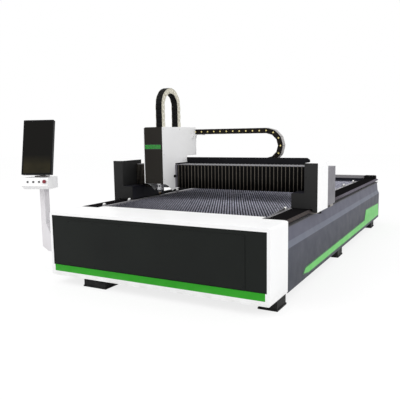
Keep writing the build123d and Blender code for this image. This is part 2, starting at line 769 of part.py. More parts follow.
def y_rail(side):
    """Profiled guide rail on top of the bed beam."""
    half = Y_RAIL_WIDTH / 2
    section = outline(
        (Y_RAIL_X - half, BEAM_TOP),
        (Y_RAIL_X + half, BEAM_TOP),
        (Y_RAIL_X + half, BEAM_TOP + Y_RAIL_HEIGHT / 3),
        (Y_RAIL_X + half - Y_RAIL_WAIST, BEAM_TOP + Y_RAIL_HEIGHT / 2),
        (Y_RAIL_X + half, BEAM_TOP + Y_RAIL_HEIGHT * 2 / 3),
        (Y_RAIL_X + half, BEAM_TOP + Y_RAIL_HEIGHT),
        (Y_RAIL_X - half, BEAM_TOP + Y_RAIL_HEIGHT),
        (Y_RAIL_X - half, BEAM_TOP + Y_RAIL_HEIGHT * 2 / 3),
        (Y_RAIL_X - half + Y_RAIL_WAIST, BEAM_TOP + Y_RAIL_HEIGHT / 2),
        (Y_RAIL_X - half, BEAM_TOP + Y_RAIL_HEIGHT / 3),
    )
    return on_side(side, along_y(section, station(Y_RAIL_START), station(Y_RAIL_END)))


def y_rack(side):
    """Rack bar on the ledge; its toothed face looks outwards."""
    bar = block(
        LEDGE_OUTER_X - Y_RACK_DEPTH,
        LEDGE_OUTER_X,
        station(Y_RAIL_START),
        station(Y_RAIL_END),
        LEDGE_TOP,
        LEDGE_TOP + Y_RACK_HEIGHT,
    )
    return on_side(side, bar)


# Slat table


def table_rail(side):
    """Long edge rail of the table with an inner ledge for the slats."""
    wall = TABLE_RAIL_WALL
    web = TABLE_HALF_WIDTH
    section = outline(
        (web - TABLE_LEDGE, SLAT_BASE_Z - wall),
        (web, SLAT_BASE_Z - wall),
        (web, TABLE_RAIL_BOTTOM),
        (BEAM_INNER_X, TABLE_RAIL_BOTTOM),
        (BEAM_INNER_X, TABLE_RAIL_BOTTOM + wall),
        (web + wall, TABLE_RAIL_BOTTOM + wall),
        (web + wall, TABLE_RAIL_TOP - wall),
        (web + TABLE_RAIL_FLANGE, TABLE_RAIL_TOP - wall),
        (web + TABLE_RAIL_FLANGE, TABLE_RAIL_TOP),
        (web, TABLE_RAIL_TOP),
        (web, SLAT_BASE_Z),
        (web - TABLE_LEDGE, SLAT_BASE_Z),
    )
    return on_side(side, along_y(section, station(TABLE_START), station(TABLE_END)))


def table_tubes():
    """Cross tubes between the beams that carry the slat bearers."""
    first = TABLE_START + TABLE_TUBE_WIDTH
    last = TABLE_END - TABLE_TUBE_WIDTH
    top = BEARER_BOTTOM
    tubes = []
    for middle in spread(first, last, TABLE_TUBE_COUNT):
        y0 = station(middle - TABLE_TUBE_WIDTH / 2)
        y1 = station(middle + TABLE_TUBE_WIDTH / 2)
        tube = block(-BEAM_INNER_X, BEAM_INNER_X, y0, y1, top - TABLE_TUBE_HEIGHT, top)
        tube -= block(
            -BEAM_INNER_X,
            BEAM_INNER_X,
            y0 + CROSS_WALL,
            y1 - CROSS_WALL,
            top - TABLE_TUBE_HEIGHT + CROSS_WALL,
            top - CROSS_WALL,
        )
        tubes.append(tube)
    return tubes


def table_bearers():
    """Flat bars along the bed on which the slats stand."""
    half = BEARER_WIDTH / 2
    return [
        block(
            middle - half,
            middle + half,
            station(TABLE_START),
            station(TABLE_END),
            BEARER_BOTTOM,
            SLAT_BASE_Z,
        )
        for middle in (-BEARER_SPACING, 0.0, BEARER_SPACING)
    ]


def slat():
    """One upright slat with a saw-toothed upper edge."""
    pitch = 2 * SLAT_HALF_LENGTH / SLAT_TEETH
    low = DECK_HEIGHT - SLAT_TOOTH_DEPTH
    points = [(-SLAT_HALF_LENGTH, SLAT_BASE_Z), (SLAT_HALF_LENGTH, SLAT_BASE_Z)]
    for i in range(SLAT_TEETH):
        right = SLAT_HALF_LENGTH - i * pitch
        points.append((right, low))
        points.append((right - pitch / 2, DECK_HEIGHT))
    points.append((-SLAT_HALF_LENGTH, low))
    return along_y(outline(*points), -SLAT_THICKNESS / 2, SLAT_THICKNESS / 2)


def table_slats():
    """The full set of slats across the table."""
    one = slat()
    return [Pos(0, station(SLAT_FIRST_STATION + i * SLAT_PITCH), 0) * one for i in range(SLAT_COUNT)]


def edge_roller(side, distance):
    """Loading roller in a forked block on the table rail."""
    x = TABLE_HALF_WIDTH + TABLE_RAIL_FLANGE / 2 - ROLLER_CHEEK
    y = station(distance)
    axle_z = ROLLER_TOP - ROLLER_RADIUS
    half = ROLLER_WIDTH / 2
    fork = block(
        x - half - ROLLER_CHEEK,
        x + half + ROLLER_CHEEK,
        y - ROLLER_BASE / 2,
        y + ROLLER_BASE / 2,
        TABLE_RAIL_TOP,
        axle_z + ROLLER_CHEEK,
    )
    wheel = Pos(x, y, axle_z) * Rot(0, 90, 0) * Cylinder(ROLLER_RADIUS, ROLLER_WIDTH)
    return on_side(side, fork + wheel)


def table_rollers():
    """Loading rollers along both edges of the table."""
    stations = (FIRST_ROLLER_STATION, SECOND_ROLLER_STATION, THIRD_ROLLER_STATION, FOURTH_ROLLER_STATION)
    rollers = [edge_roller(side, distance) for side in (1, -1) for distance in stations]
    rollers.append(edge_roller(-1, LEFT_ROLLER_STATION))
    return rollers


def guide_ramp():
    """Rising strip on the right table rail that lifts a sheet onto the first roller."""
    start = station(TABLE_START)
    end = station(GUIDE_RAMP_END)
    rise = outline(
        (start, TABLE_RAIL_TOP),
        (end, TABLE_RAIL_TOP),
        (end, TABLE_RAIL_TOP + GUIDE_RAMP_HEIGHT),
        (start, TABLE_RAIL_TOP + SHEET),
    )
    inner = TABLE_HALF_WIDTH + TABLE_RAIL_FLANGE / 2 - ROLLER_CHEEK
    return along_x(rise, inner, inner + GUIDE_RAMP_WIDTH)


def slag_plates():
    """Loose plates on the cross members that catch slag and offcuts."""
    span = (TABLE_END - TABLE_START - SLAG_PLATE_GAP * (SLAG_PLATE_COUNT - 1)) / SLAG_PLATE_COUNT
    starts = [station(TABLE_START + i * (span + SLAG_PLATE_GAP)) for i in range(SLAG_PLATE_COUNT)]
    low = SLAG_PLATE_BOTTOM
    half = SLAG_PLATE_HALF_WIDTH
    return [block(-half, half, y0, y0 + span, low, low + SLAG_PLATE_THICKNESS) for y0 in starts]


# Gantry structure


def gantry_beam():
    """Box beam of the gantry, resting on both saddles."""
    outer = Rectangle(BEAM_DEPTH, X_BEAM_TOP - SADDLE_SEAT)
    inner = Rectangle(BEAM_DEPTH - 2 * SADDLE_WALL, X_BEAM_TOP - SADDLE_SEAT - 2 * SADDLE_WALL)
    middle = Pos(station(BEAM_STATION) + BEAM_DEPTH / 2, (X_BEAM_TOP + SADDLE_SEAT) / 2)
    return along_x(middle * (outer - inner), -X_BEAM_HALF_LENGTH, X_BEAM_HALF_LENGTH)


def saddle(side):
    """Hollow saddle above the rail cover, stepped down under the beam."""
    side_view = outline(
        (station(SADDLE_FRONT), SADDLE_BOTTOM),
        (station(SADDLE_REAR), SADDLE_BOTTOM),
        (station(SADDLE_REAR), SADDLE_SEAT),
        (station(SADDLE_SEAT_STATION), SADDLE_SEAT),
        (station(SADDLE_SEAT_STATION), SADDLE_TOP),
        (station(SADDLE_FRONT), SADDLE_TOP),
    )
    outer = along_x(side_view, SADDLE_INNER_X, SADDLE_OUTER_X)
    inner = block(
        SADDLE_INNER_X + SADDLE_WALL,
        Y_PINION_X - SHAFT_BORE_RADIUS - SADDLE_WALL,
        station(SADDLE_FRONT) + SADDLE_WALL,
        station(SADDLE_REAR) - SADDLE_WALL,
        SADDLE_BOTTOM + SADDLE_WALL,
        SADDLE_SEAT - SADDLE_WALL,
    )
    bore = Pos(Y_PINION_X, station(Y_PINION_STATION), 0) * Circle(SHAFT_BORE_RADIUS)
    return on_side(side, outer - inner - along_z(bore, SADDLE_BOTTOM, SADDLE_TOP))


def foot_brackets(side):
    """Two angle brackets that reach in under the rail cover."""
    plate_top = FOOT_PLATE_BOTTOM + FOOT_PLATE_THICKNESS
    section = outline(
        (FOOT_PLATE_INNER_X, FOOT_PLATE_BOTTOM),
        (SADDLE_OUTER_X, FOOT_PLATE_BOTTOM),
        (SADDLE_OUTER_X, SADDLE_BOTTOM),
        (FOOT_WEB_INNER_X, SADDLE_BOTTOM),
        (FOOT_WEB_INNER_X, plate_top),
        (FOOT_PLATE_INNER_X, plate_top),
    )
    length = FOOT_BRACKET_LENGTH
    front = station(SADDLE_FRONT + FOOT_BRACKET_SETBACK)
    rear = station(SADDLE_REAR - FOOT_BRACKET_SETBACK)
    return [on_side(side, along_y(section, start, start + length)) for start in (front, rear - length)]


def y_sliders():
    """Four slider blocks that ride on the longitudinal rails."""
    half = Y_SLIDER_WIDTH / 2
    groove = Y_RAIL_WIDTH / 2 + RUNNING_GAP
    bottom = BEAM_TOP + Y_SLIDER_FLOOR
    front = station(SADDLE_FRONT + FOOT_BRACKET_SETBACK) + FOOT_BRACKET_LENGTH / 2
    rear = station(SADDLE_REAR - FOOT_BRACKET_SETBACK) - FOOT_BRACKET_LENGTH / 2
    blocks = []
    for side in (1, -1):
        for middle in (front, rear):
            y0 = middle - Y_SLIDER_LENGTH / 2
            y1 = middle + Y_SLIDER_LENGTH / 2
            body = block(Y_RAIL_X - half, Y_RAIL_X + half, y0, y1, bottom, SLIDER_TOP)
            body -= block(
                Y_RAIL_X - groove,
                Y_RAIL_X + groove,
                y0,
                y1,
                bottom,
                BEAM_TOP + Y_RAIL_HEIGHT + RUNNING_GAP,
            )
            blocks.append(on_side(side, body))
    return blocks


def end_front_cover(side):
    """Dark front plate of the gantry end with its inner side wall."""
    face = outline(
        (SADDLE_INNER_X, SADDLE_BOTTOM),
        (SKIRT_INNER_X, SADDLE_BOTTOM),
        (SKIRT_INNER_X, SKIRT_BOTTOM),
        (GANTRY_HALF_WIDTH, SKIRT_BOTTOM),
        (GANTRY_HALF_WIDTH, END_COVER_TOP),
        (END_COVER_INNER_X, END_COVER_TOP),
        (END_COVER_INNER_X, SADDLE_TOP),
        (SADDLE_INNER_X, SADDLE_TOP),
    )
    plate = along_y(face, station(GANTRY_STATION), station(SADDLE_FRONT))
    wall = block(
        END_COVER_INNER_X,
        END_COVER_INNER_X + SHEET,
        station(SADDLE_FRONT),
        station(END_COVER_REAR),
        SADDLE_TOP,
        END_COVER_TOP,
    )
    return on_side(side, plate + wall)


def end_side_cover(side):
    """White outer wall and cap of the gantry end."""
    wall = block(
        GANTRY_HALF_WIDTH - SHEET,
        GANTRY_HALF_WIDTH,
        station(SADDLE_FRONT),
        station(END_COVER_REAR),
        SKIRT_BOTTOM,
        END_COVER_TOP,
    )
    cap = block(
        END_COVER_INNER_X + SHEET,
        GANTRY_HALF_WIDTH,
        station(SADDLE_FRONT),
        station(END_COVER_REAR),
        END_COVER_TOP - SHEET,
        END_COVER_TOP,
    )
    return on_side(side, wall + cap)


def end_rear_cover(side):
    """Grey rear box of the gantry end."""
    front = station(END_COVER_REAR)
    rear = station(REAR_COVER_STATION)
    outer = block(END_COVER_INNER_X, GANTRY_HALF_WIDTH, front, rear, REAR_COVER_BOTTOM, REAR_COVER_TOP)
    inner = block(
        END_COVER_INNER_X,
        GANTRY_HALF_WIDTH - SHEET,
        front,
        rear - SHEET,
        REAR_COVER_BOTTOM,
        REAR_COVER_TOP - SHEET,
    )
    lower = block(END_COVER_INNER_X, SADDLE_OUTER_X, rear - SHEET, rear, REAR_COVER_BOTTOM, SADDLE_BOTTOM)
    return on_side(side, outer - inner - lower)


# Drives of the gantry


def y_motor(side):
    """Servo motor with a gearbox flange, standing on the saddle."""
    middle = Pos(Y_PINION_X, station(Y_PINION_STATION), 0)
    flange = along_z(middle * Rectangle(Y_MOTOR_SIZE, Y_MOTOR_SIZE), SADDLE_TOP, SADDLE_TOP + MOTOR_FLANGE)
    body_size = Y_MOTOR_SIZE - MOTOR_FLANGE
    body = along_z(
        middle * RectangleRounded(body_size, body_size, MOTOR_FLANGE / 2),
        SADDLE_TOP + MOTOR_FLANGE,
        SADDLE_TOP + Y_MOTOR_HEIGHT,
    )
    return on_side(side, flange + body)


def y_pinion(side):
    """Pinion and its upright shaft, in mesh with the rack."""
    x = Y_PINION_X
    y = station(Y_PINION_STATION)
    low = LEDGE_TOP + (Y_RACK_HEIGHT - Y_PINION_HEIGHT) / 2
    gear = along_z(Pos(x, y, 0) * Circle(Y_PINION_RADIUS), low, low + Y_PINION_HEIGHT)
    shaft = along_z(Pos(x, y, 0) * Circle(PINION_SHAFT_RADIUS), low + Y_PINION_HEIGHT, SADDLE_TOP - SEAT_GAP)
    return on_side(side, gear + shaft)


def x_rails():
    """Two guide rails on the front face of the beam."""
    back = station(BEAM_STATION)
    return [
        block(
            -X_RAIL_HALF_LENGTH,
            X_RAIL_HALF_LENGTH,
            back - X_RAIL_DEPTH,
            back,
            z - X_RAIL_HEIGHT / 2,
            z + X_RAIL_HEIGHT / 2,
        )
        for z in (X_RAIL_LOWER_Z, X_RAIL_UPPER_Z)
    ]


def x_rack():
    """Rack above the upper rail; its toothed face looks up."""
    back = station(BEAM_STATION)
    return block(
        -X_RAIL_HALF_LENGTH,
        X_RAIL_HALF_LENGTH,
        back - X_RAIL_DEPTH,
        back,
        X_RACK_TOP - X_RACK_HEIGHT,
        X_RACK_TOP,
    )


# Pleated way covers


def pleat_section(x, raised):
    """Cross-section of a way cover at a ridge or in a valley of its pleats."""
    front = station(BELLOWS_STATION) if raised else station(BELLOWS_INNER_STATION - BELLOWS_WALL)
    crown = X_BEAM_TOP + BELLOWS_WALL
    top = BELLOWS_TOP if raised else (BELLOWS_TOP + crown) / 2
    inner = station(BELLOWS_INNER_STATION)
    back = station(BELLOWS_BACK_STATION)
    shape = outline(
        (front, BELLOWS_BOTTOM),
        (inner, BELLOWS_BOTTOM),
        (inner, crown),
        (back, crown),
        (back, top),
        (front, top),
    )
    return Plane(origin=(x, 0, 0), x_dir=(0, 1, 0), z_dir=(1, 0, 0)) * shape


def bellows(x0, x1, pleats):
    """Way cover folded into pleats between two ends."""
    stations = spread(x0, x1, 2 * pleats + 1)
    return loft([pleat_section(x, i % 2 == 1) for i, x in enumerate(stations)], ruled=True)


# Cable tray and drag chains


def cable_tray():
    """Long open tray on the beam that carries the chain's lower run."""
    y0 = station(CABLE_TRAY_STATION)
    y1 = y0 + CABLE_TRAY_DEPTH
    top = X_BEAM_TOP + CABLE_TRAY_HEIGHT
    tray = block(CABLE_TRAY_LEFT_X, CABLE_TRAY_RIGHT_X, y0, y1, X_BEAM_TOP, top)
    tray -= block(
        CABLE_TRAY_LEFT_X + SHEET,
        CABLE_TRAY_RIGHT_X,
        y0 + SHEET,
        y1 - SHEET,
        X_BEAM_TOP + SHEET,
        top,
    )
    tray -= block(
        CABLE_TRAY_LEFT_X,
        CABLE_TRAY_RIGHT_X,
        y1 - SHEET,
        y1,
        X_BEAM_TOP + CABLE_TRAY_REAR_HEIGHT,
        top,
    )
    clipped = outline(
        (CABLE_TRAY_RIGHT_X - CABLE_TRAY_CHAMFER_X, top),
        (CABLE_TRAY_RIGHT_X, top),
        (CABLE_TRAY_RIGHT_X, top - CABLE_TRAY_CHAMFER_Z),
    )
    return tray - along_y(clipped, y0, y1)


def link_plate(length):
    """Side plate of one chain link with cut corners."""
    half = length / 2
    tall = CHAIN_HEIGHT / 2
    cut = CHAIN_HEIGHT / 4
    return outline(
        (-half, -tall + cut),
        (-half + cut, -tall),
        (half - cut, -tall),
        (half, -tall + cut),
        (half, tall - cut),
        (half - cut, tall),
        (-half + cut, tall),
        (-half, tall - cut),
    )


def chain_bars():
    """Cross bars that close a link at its inner and outer edge."""
    depth = CHAIN_BAND_INSET + CHAIN_WALL
    reach = CHAIN_HEIGHT / 2 - depth / 2
    bar = Rectangle(CHAIN_BAR, depth)
    return Pos(0, reach) * bar + Pos(0, -reach) * bar


def chain_solid(place, band, links, length):
    """Chain run: two inner bands, outer link plates and cross bars.

    place turns an outline in the chain's plane into a solid between two
    depths, links holds the plane position of each link.
    """
    wall = CHAIN_WALL
    far = CHAIN_WIDTH
    run = place(band, wall, 2 * wall) + place(band, far - 2 * wall, far - wall)
    for spot in links:
        plate = spot * link_plate(length - CHAIN_LINK_GAP)
        run += place(plate, 0, wall)
        run += place(plate, far - wall, far)
        for bar in (spot * chain_bars()).faces():
            run += place(bar, wall, far - wall)
    return run


def straight_links(start, end, count):
    """Plane positions of evenly spaced links on a straight run."""
    step = (end - start) / count
    return [start + step * (i + 0.5) for i in range(count)], step.length


def chain_run(place, start, end, count):
    """Straight chain run between two points of the chain's plane."""
    first = Vector(*start)
    last = Vector(*end)
    middles, step = straight_links(first, last, count)
    angle = Vector(1, 0, 0).get_signed_angle(last - first, Vector(0, 0, 1))
    centre = (first + last) * 0.5
    depth = CHAIN_HEIGHT - 2 * CHAIN_BAND_INSET
    band = Pos(centre.X, centre.Y) * Rot(0, 0, angle) * Rectangle((last - first).length, depth)
    spots = [Pos(m.X, m.Y) * Rot(0, 0, angle) for m in middles]
    return chain_solid(place, band, spots, step)


def chain_turn(place, centre, radius, first_angle, last_angle, count):
    """Chain loop: links set round a half circle."""
    depth = CHAIN_HEIGHT / 2 - CHAIN_BAND_INSET
    sweep = last_angle - first_angle
    edge_count = 2 * count
    outer = []
    inner = []
    for i in range(edge_count + 1):
        turn = radians(first_angle + sweep * i / edge_count)
        outer.append((centre[0] + (radius + depth) * cos(turn), centre[1] + (radius + depth) * sin(turn)))
        inner.append((centre[0] + (radius - depth) * cos(turn), centre[1] + (radius - depth) * sin(turn)))
    band = outline(*outer, *reversed(inner))
    chord = 2 * radius * sin(radians(abs(sweep) / count / 2))
    spots = []
    for i in range(count):
        angle = first_angle + sweep * (i + 0.5) / count
        across = centre[0] + radius * cos(radians(angle))
        up = centre[1] + radius * sin(radians(angle))
        spots.append(Pos(across, up) * Rot(0, 0, angle + 90))
    return chain_solid(place, band, spots, chord)


def place_x_chain(shape, near, far):
    """Solid between two depths behind the front face of the beam chain."""
    front = station(X_CHAIN_STATION)
    return along_y(shape, front + near, front + far)


def place_z_chain(shape, near, far):
    """Solid between two depths from the left face of the head chain."""
    return along_x(shape, Z_CHAIN_LEFT_X + near, Z_CHAIN_LEFT_X + far)


X_CHAIN_UPPER_Z = X_CHAIN_TOP_Z - CHAIN_HEIGHT / 2
X_CHAIN_TURN_Z = X_CHAIN_UPPER_Z - X_CHAIN_RADIUS
X_CHAIN_LOWER_Z = X_CHAIN_TURN_Z - X_CHAIN_RADIUS
Z_CHAIN_FRONT = station(Z_CHAIN_TURN_STATION) - Z_CHAIN_RADIUS
Z_CHAIN_REAR = station(Z_CHAIN_TURN_STATION) + Z_CHAIN_RADIUS


def x_chain_upper():
    """Upper run of the beam chain, from the carriage to the loop."""
    start = (X_CHAIN_START_X, X_CHAIN_UPPER_Z)
    end = (X_CHAIN_TURN_X, X_CHAIN_UPPER_Z)
    return chain_run(place_x_chain, start, end, X_CHAIN_UPPER_LINKS)


def x_chain_loop():
    """Loop of the beam chain, which travels at half the carriage speed."""
    centre = (X_CHAIN_TURN_X, X_CHAIN_TURN_Z)
    return chain_turn(place_x_chain, centre, X_CHAIN_RADIUS, 90, -90, X_CHAIN_TURN_LINKS)


def x_chain_lower():
    """Lower run of the beam chain, lying over the floor of the tray."""
    start = (X_CHAIN_ANCHOR_X, X_CHAIN_LOWER_Z)
    end = (X_CHAIN_TURN_X, X_CHAIN_LOWER_Z)
    return chain_run(place_x_chain, start, end, X_CHAIN_LOWER_LINKS)


def x_chain_anchor():
    """Block in the tray that holds the fixed end of the beam chain."""
    front = station(X_CHAIN_STATION)
    low = X_BEAM_TOP + SHEET
    return block(
        X_CHAIN_ANCHOR_X - CHAIN_HEIGHT,
        X_CHAIN_ANCHOR_X,
        front + CHAIN_WALL,
        front + CHAIN_WIDTH - CHAIN_WALL,
        low,
        X_CHAIN_LOWER_Z + CHAIN_HEIGHT / 4,
    )


def z_chain_leg(y):
    """One upright leg of the head chain on top of the carriage cover."""
    return chain_run(place_z_chain, (y, COVER_TOP), (y, Z_CHAIN_TURN_Z), Z_CHAIN_LEG_LINKS)


def z_chain_loop():
    """Loop of the head chain, which rises at half the head's travel."""
    centre = (station(Z_CHAIN_TURN_STATION), Z_CHAIN_TURN_Z)
    return chain_turn(place_z_chain, centre, Z_CHAIN_RADIUS, 180, 0, Z_CHAIN_TURN_LINKS)


# Carriage cover


def cover_profile():
    """Side view of the carriage cover with its arched lower front."""
    front = station(COVER_STATION) + FACE_PANEL_THICKNESS
    corner = (station(COVER_TOE_STATION), COVER_TOE_BOTTOM)
    start = (front, COVER_FRONT_BOTTOM)
    crown = ((corner[0] + start[0]) / 2 - COVER_ARCH_BACK, (corner[1] + start[1]) / 2 + COVER_ARCH_RISE)
    arch = ThreePointArc(corner, crown, start)
    edge = Polyline(
        start,
        (front, COVER_TOP),
        (station(COVER_REAR_STATION), COVER_TOP),
        (station(COVER_REAR_STATION), COVER_REAR_BOTTOM),
        (station(COVER_STEP_STATION), COVER_REAR_BOTTOM),
        (station(COVER_STEP_STATION), COVER_STEP_BOTTOM),
        (station(COVER_BACK_STATION), COVER_STEP_BOTTOM),
        (station(COVER_BACK_STATION), COVER_BACK_BOTTOM),
        corner,
    )
    return make_face([arch, *edge.edges()])


def head_housing():
    """White carriage cover: two side walls, top, back and a rear floor."""
    side_view = cover_profile()
    wall = COVER_SHEET
    left = along_x(side_view, COVER_LEFT_X, INNER_LEFT_X)
    right = along_x(side_view, INNER_RIGHT_X, COVER_RIGHT_X)
    front = station(COVER_STATION) + FACE_PANEL_THICKNESS
    rear = station(COVER_REAR_STATION)
    top = block(INNER_LEFT_X, INNER_RIGHT_X, front, rear, COVER_TOP - wall, COVER_TOP)
    back = block(INNER_LEFT_X, INNER_RIGHT_X, rear - wall, rear, COVER_REAR_BOTTOM, COVER_TOP - wall)
    floor = block(
        INNER_LEFT_X,
        INNER_RIGHT_X,
        station(COVER_STEP_STATION),
        rear - wall,
        COVER_REAR_BOTTOM,
        COVER_REAR_BOTTOM + wall,
    )
    nose = block(INNER_LEFT_X, INNER_RIGHT_X, front, front + wall, COVER_FRONT_BOTTOM, COVER_TOP - wall)
    return left + right + top + back + floor + nose


def head_face_panel():
    """Dark front panel of the carriage cover, rounded at its upper left."""
    left = COVER_LEFT_X + FACE_PANEL_MARGIN
    shape = outline(
        (left, COVER_FRONT_BOTTOM),
        (COVER_RIGHT_X, COVER_FRONT_BOTTOM),
        (COVER_RIGHT_X, COVER_TOP),
        (left, COVER_TOP),
    )
    corner = shape.vertices().sort_by(Axis.X)[:2].sort_by(Axis.Y)[-1]
    shape = fillet(corner, FACE_PANEL_CORNER)
    front = station(COVER_STATION)
    panel = along_y(shape, front, front + FACE_PANEL_THICKNESS)
    window = display_room()
    return panel - window


def display_room():
    """Solid that the display band fills in the face panel."""
    left = COVER_LEFT_X + DISPLAY_LEFT_MARGIN
    right = COVER_RIGHT_X - DISPLAY_RIGHT_MARGIN
    front = station(COVER_STATION)
    top = DISPLAY_BOTTOM + DISPLAY_HEIGHT
    return block(left, right, front, front + DISPLAY_THICKNESS, DISPLAY_BOTTOM, top)


def head_latch():
    """Round turn-latch on the side of the carriage cover."""
    centre = Pos(COVER_RIGHT_X, station(LATCH_STATION), LATCH_Z) * Rot(0, 90, 0)
    base = centre * Pos(0, 0, LATCH_DEPTH / 6) * Cylinder(LATCH_RADIUS, LATCH_DEPTH / 3)
    grip = centre * Pos(0, 0, LATCH_DEPTH * 2 / 3) * Cylinder(LATCH_GRIP_RADIUS, LATCH_DEPTH * 2 / 3)
    return base + grip


def chain_arm():
    """Angle arm behind the carriage cover that starts the beam chain."""
    front = station(X_CHAIN_STATION)
    top = X_CHAIN_TOP_Z - CHAIN_HEIGHT
    upright = block(
        COVER_RIGHT_X,
        COVER_RIGHT_X + CHAIN_ARM_PLATE,
        front - CHAIN_WIDTH,
        station(COVER_REAR_STATION),
        top - CHAIN_WIDTH / 2,
        top,
    )
    shelf = block(
        COVER_RIGHT_X,
        COVER_RIGHT_X + CHAIN_ARM_LENGTH,
        front,
        front + CHAIN_WIDTH,
        top - CHAIN_ARM_PLATE,
        top,
    )
    return upright + shelf


# Carriage mechanism


def carriage_plate():
    """Machined plate that carries the slides, motors and cover."""
    face = station(CARRIAGE_FACE_STATION)
    back = station(CARRIAGE_BACK)
    plate = block(INNER_LEFT_X, INNER_RIGHT_X, face, back, CARRIAGE_BOTTOM, CARRIAGE_TOP)
    shelf = block(
        HEAD_X - Z_MOTOR_SIZE / 2 - MOTOR_FLANGE,
        HEAD_X + Z_MOTOR_SIZE / 2 + MOTOR_FLANGE,
        station(SCREW_STATION) - Z_MOTOR_SIZE / 2,
        face,
        MOTOR_PLATE_Z,
        MOTOR_PLATE_Z + MOTOR_PLATE_THICKNESS,
    )
    axle_z = X_RACK_TOP + X_PINION_RADIUS + RUNNING_GAP
    x_axle = Pos(X_MOTOR_X, axle_z) * Circle(PINION_SHAFT_RADIUS + SEAT_GAP)
    z_axle = Pos(HEAD_X, station(SCREW_STATION), 0) * Circle(SCREW_RADIUS + SEAT_GAP)
    plate -= along_y(x_axle, face, back)
    shelf -= along_z(z_axle, MOTOR_PLATE_Z, MOTOR_PLATE_Z + MOTOR_PLATE_THICKNESS)
    return plate + shelf


def x_sliders():
    """Four slider blocks between the carriage plate and the beam rails."""
    near = station(CARRIAGE_BACK)
    rail_front = station(BEAM_STATION) - X_RAIL_DEPTH
    far = rail_front + X_SLIDER_REACH
    groove = X_RAIL_HEIGHT / 2 + RUNNING_GAP
    blocks = []
    for x in (INNER_LEFT_X + X_SLIDER_INSET, INNER_RIGHT_X - X_SLIDER_INSET):
        for z in (X_RAIL_LOWER_Z, X_RAIL_UPPER_Z):
            half = X_SLIDER_WIDTH / 2
            tall = X_SLIDER_HEIGHT / 2
            body = block(x - half, x + half, near, far, z - tall, z + tall)
            body -= block(x - half, x + half, rail_front - RUNNING_GAP, far, z - groove, z + groove)
            blocks.append(body)
    return blocks


def z_rails():
    """Two upright guide rails on the carriage plate."""
    back = station(CARRIAGE_FACE_STATION)
    half = Z_RAIL_WIDTH / 2
    return [
        block(x - half, x + half, back - Z_RAIL_DEPTH, back, Z_RAIL_BOTTOM, Z_RAIL_TOP)
        for x in (HEAD_X - Z_RAIL_SPACING / 2, HEAD_X + Z_RAIL_SPACING / 2)
    ]


def z_slide():
    """Slide plate of the cutting head with its blocks and nut."""
    front = station(Z_PLATE_STATION)
    back = front + Z_PLATE_THICKNESS
    half = Z_PLATE_WIDTH / 2
    plate = block(HEAD_X - half, HEAD_X + half, front, back, Z_PLATE_BOTTOM, Z_PLATE_TOP)
    rail_front = station(CARRIAGE_FACE_STATION) - Z_RAIL_DEPTH
    reach = rail_front + Z_SLIDER_REACH
    groove = Z_RAIL_WIDTH / 2 + RUNNING_GAP
    wide = Z_SLIDER_WIDTH / 2
    inset = Z_SLIDER_HEIGHT
    for x in (HEAD_X - Z_RAIL_SPACING / 2, HEAD_X + Z_RAIL_SPACING / 2):
        for z in (Z_PLATE_BOTTOM + inset, Z_PLATE_TOP - inset):
            tall = Z_SLIDER_HEIGHT / 2
            body = block(x - wide, x + wide, back, reach, z - tall, z + tall)
            body -= block(x - groove, x + groove, rail_front - RUNNING_GAP, reach, z - tall, z + tall)
            plate += body
    nut = block(
        HEAD_X - NUT_WIDTH / 2,
        HEAD_X + NUT_WIDTH / 2,
        back,
        station(SCREW_STATION) + NUT_WIDTH / 2,
        NUT_BOTTOM,
        NUT_BOTTOM + NUT_HEIGHT,
    )
    bore = Pos(HEAD_X, station(SCREW_STATION), 0) * Circle(SCREW_RADIUS + RUNNING_GAP / 2)
    return plate + nut - along_z(bore, NUT_BOTTOM, NUT_BOTTOM + NUT_HEIGHT)


def z_screw():
    """Ball screw between the motor plate and the lower end of the slide."""
    axis = Pos(HEAD_X, station(SCREW_STATION), 0) * Circle(SCREW_RADIUS)
    return along_z(axis, SCREW_BOTTOM, MOTOR_PLATE_Z + MOTOR_PLATE_THICKNESS - SEAT_GAP)


def z_motor():
    """Motor that turns the ball screw."""
    low = MOTOR_PLATE_Z + MOTOR_PLATE_THICKNESS
    middle = Pos(HEAD_X, station(SCREW_STATION) - MOTOR_FLANGE, 0)
    flange = along_z(middle * Rectangle(Z_MOTOR_SIZE, Z_MOTOR_SIZE - MOTOR_FLANGE), low, low + MOTOR_FLANGE)
    size = Z_MOTOR_SIZE - 2 * MOTOR_FLANGE
    body = along_z(
        middle * RectangleRounded(size, size, MOTOR_FLANGE / 2),
        low + MOTOR_FLANGE,
        low + Z_MOTOR_HEIGHT,
    )
    return flange + body


def x_motor():
    """Motor on the carriage plate that drives the pinion across the beam."""
    z = X_RACK_TOP + X_PINION_RADIUS + RUNNING_GAP
    back = station(CARRIAGE_FACE_STATION)
    flange = along_y(Pos(X_MOTOR_X, z) * Rectangle(X_MOTOR_SIZE, X_MOTOR_SIZE), back - MOTOR_FLANGE, back)
    size = X_MOTOR_SIZE - MOTOR_FLANGE
    body = along_y(
        Pos(X_MOTOR_X, z) * RectangleRounded(size, size, MOTOR_FLANGE / 2),
        back - X_MOTOR_LENGTH,
        back - MOTOR_FLANGE,
    )
    return flange + body


def x_pinion():
    """Pinion and axle in mesh with the rack of the beam."""
    z = X_RACK_TOP + X_PINION_RADIUS + RUNNING_GAP
    middle = station(BEAM_STATION) - X_RAIL_DEPTH / 2
    gear = along_y(
        Pos(X_MOTOR_X, z) * Circle(X_PINION_RADIUS),
        middle - X_PINION_WIDTH / 2,
        middle + X_PINION_WIDTH / 2,
    )
    axle = along_y(
        Pos(X_MOTOR_X, z) * Circle(PINION_SHAFT_RADIUS),
        station(CARRIAGE_FACE_STATION) + SEAT_GAP,
        middle - X_PINION_WIDTH / 2,
    )
    return gear + axle


# Cutting head


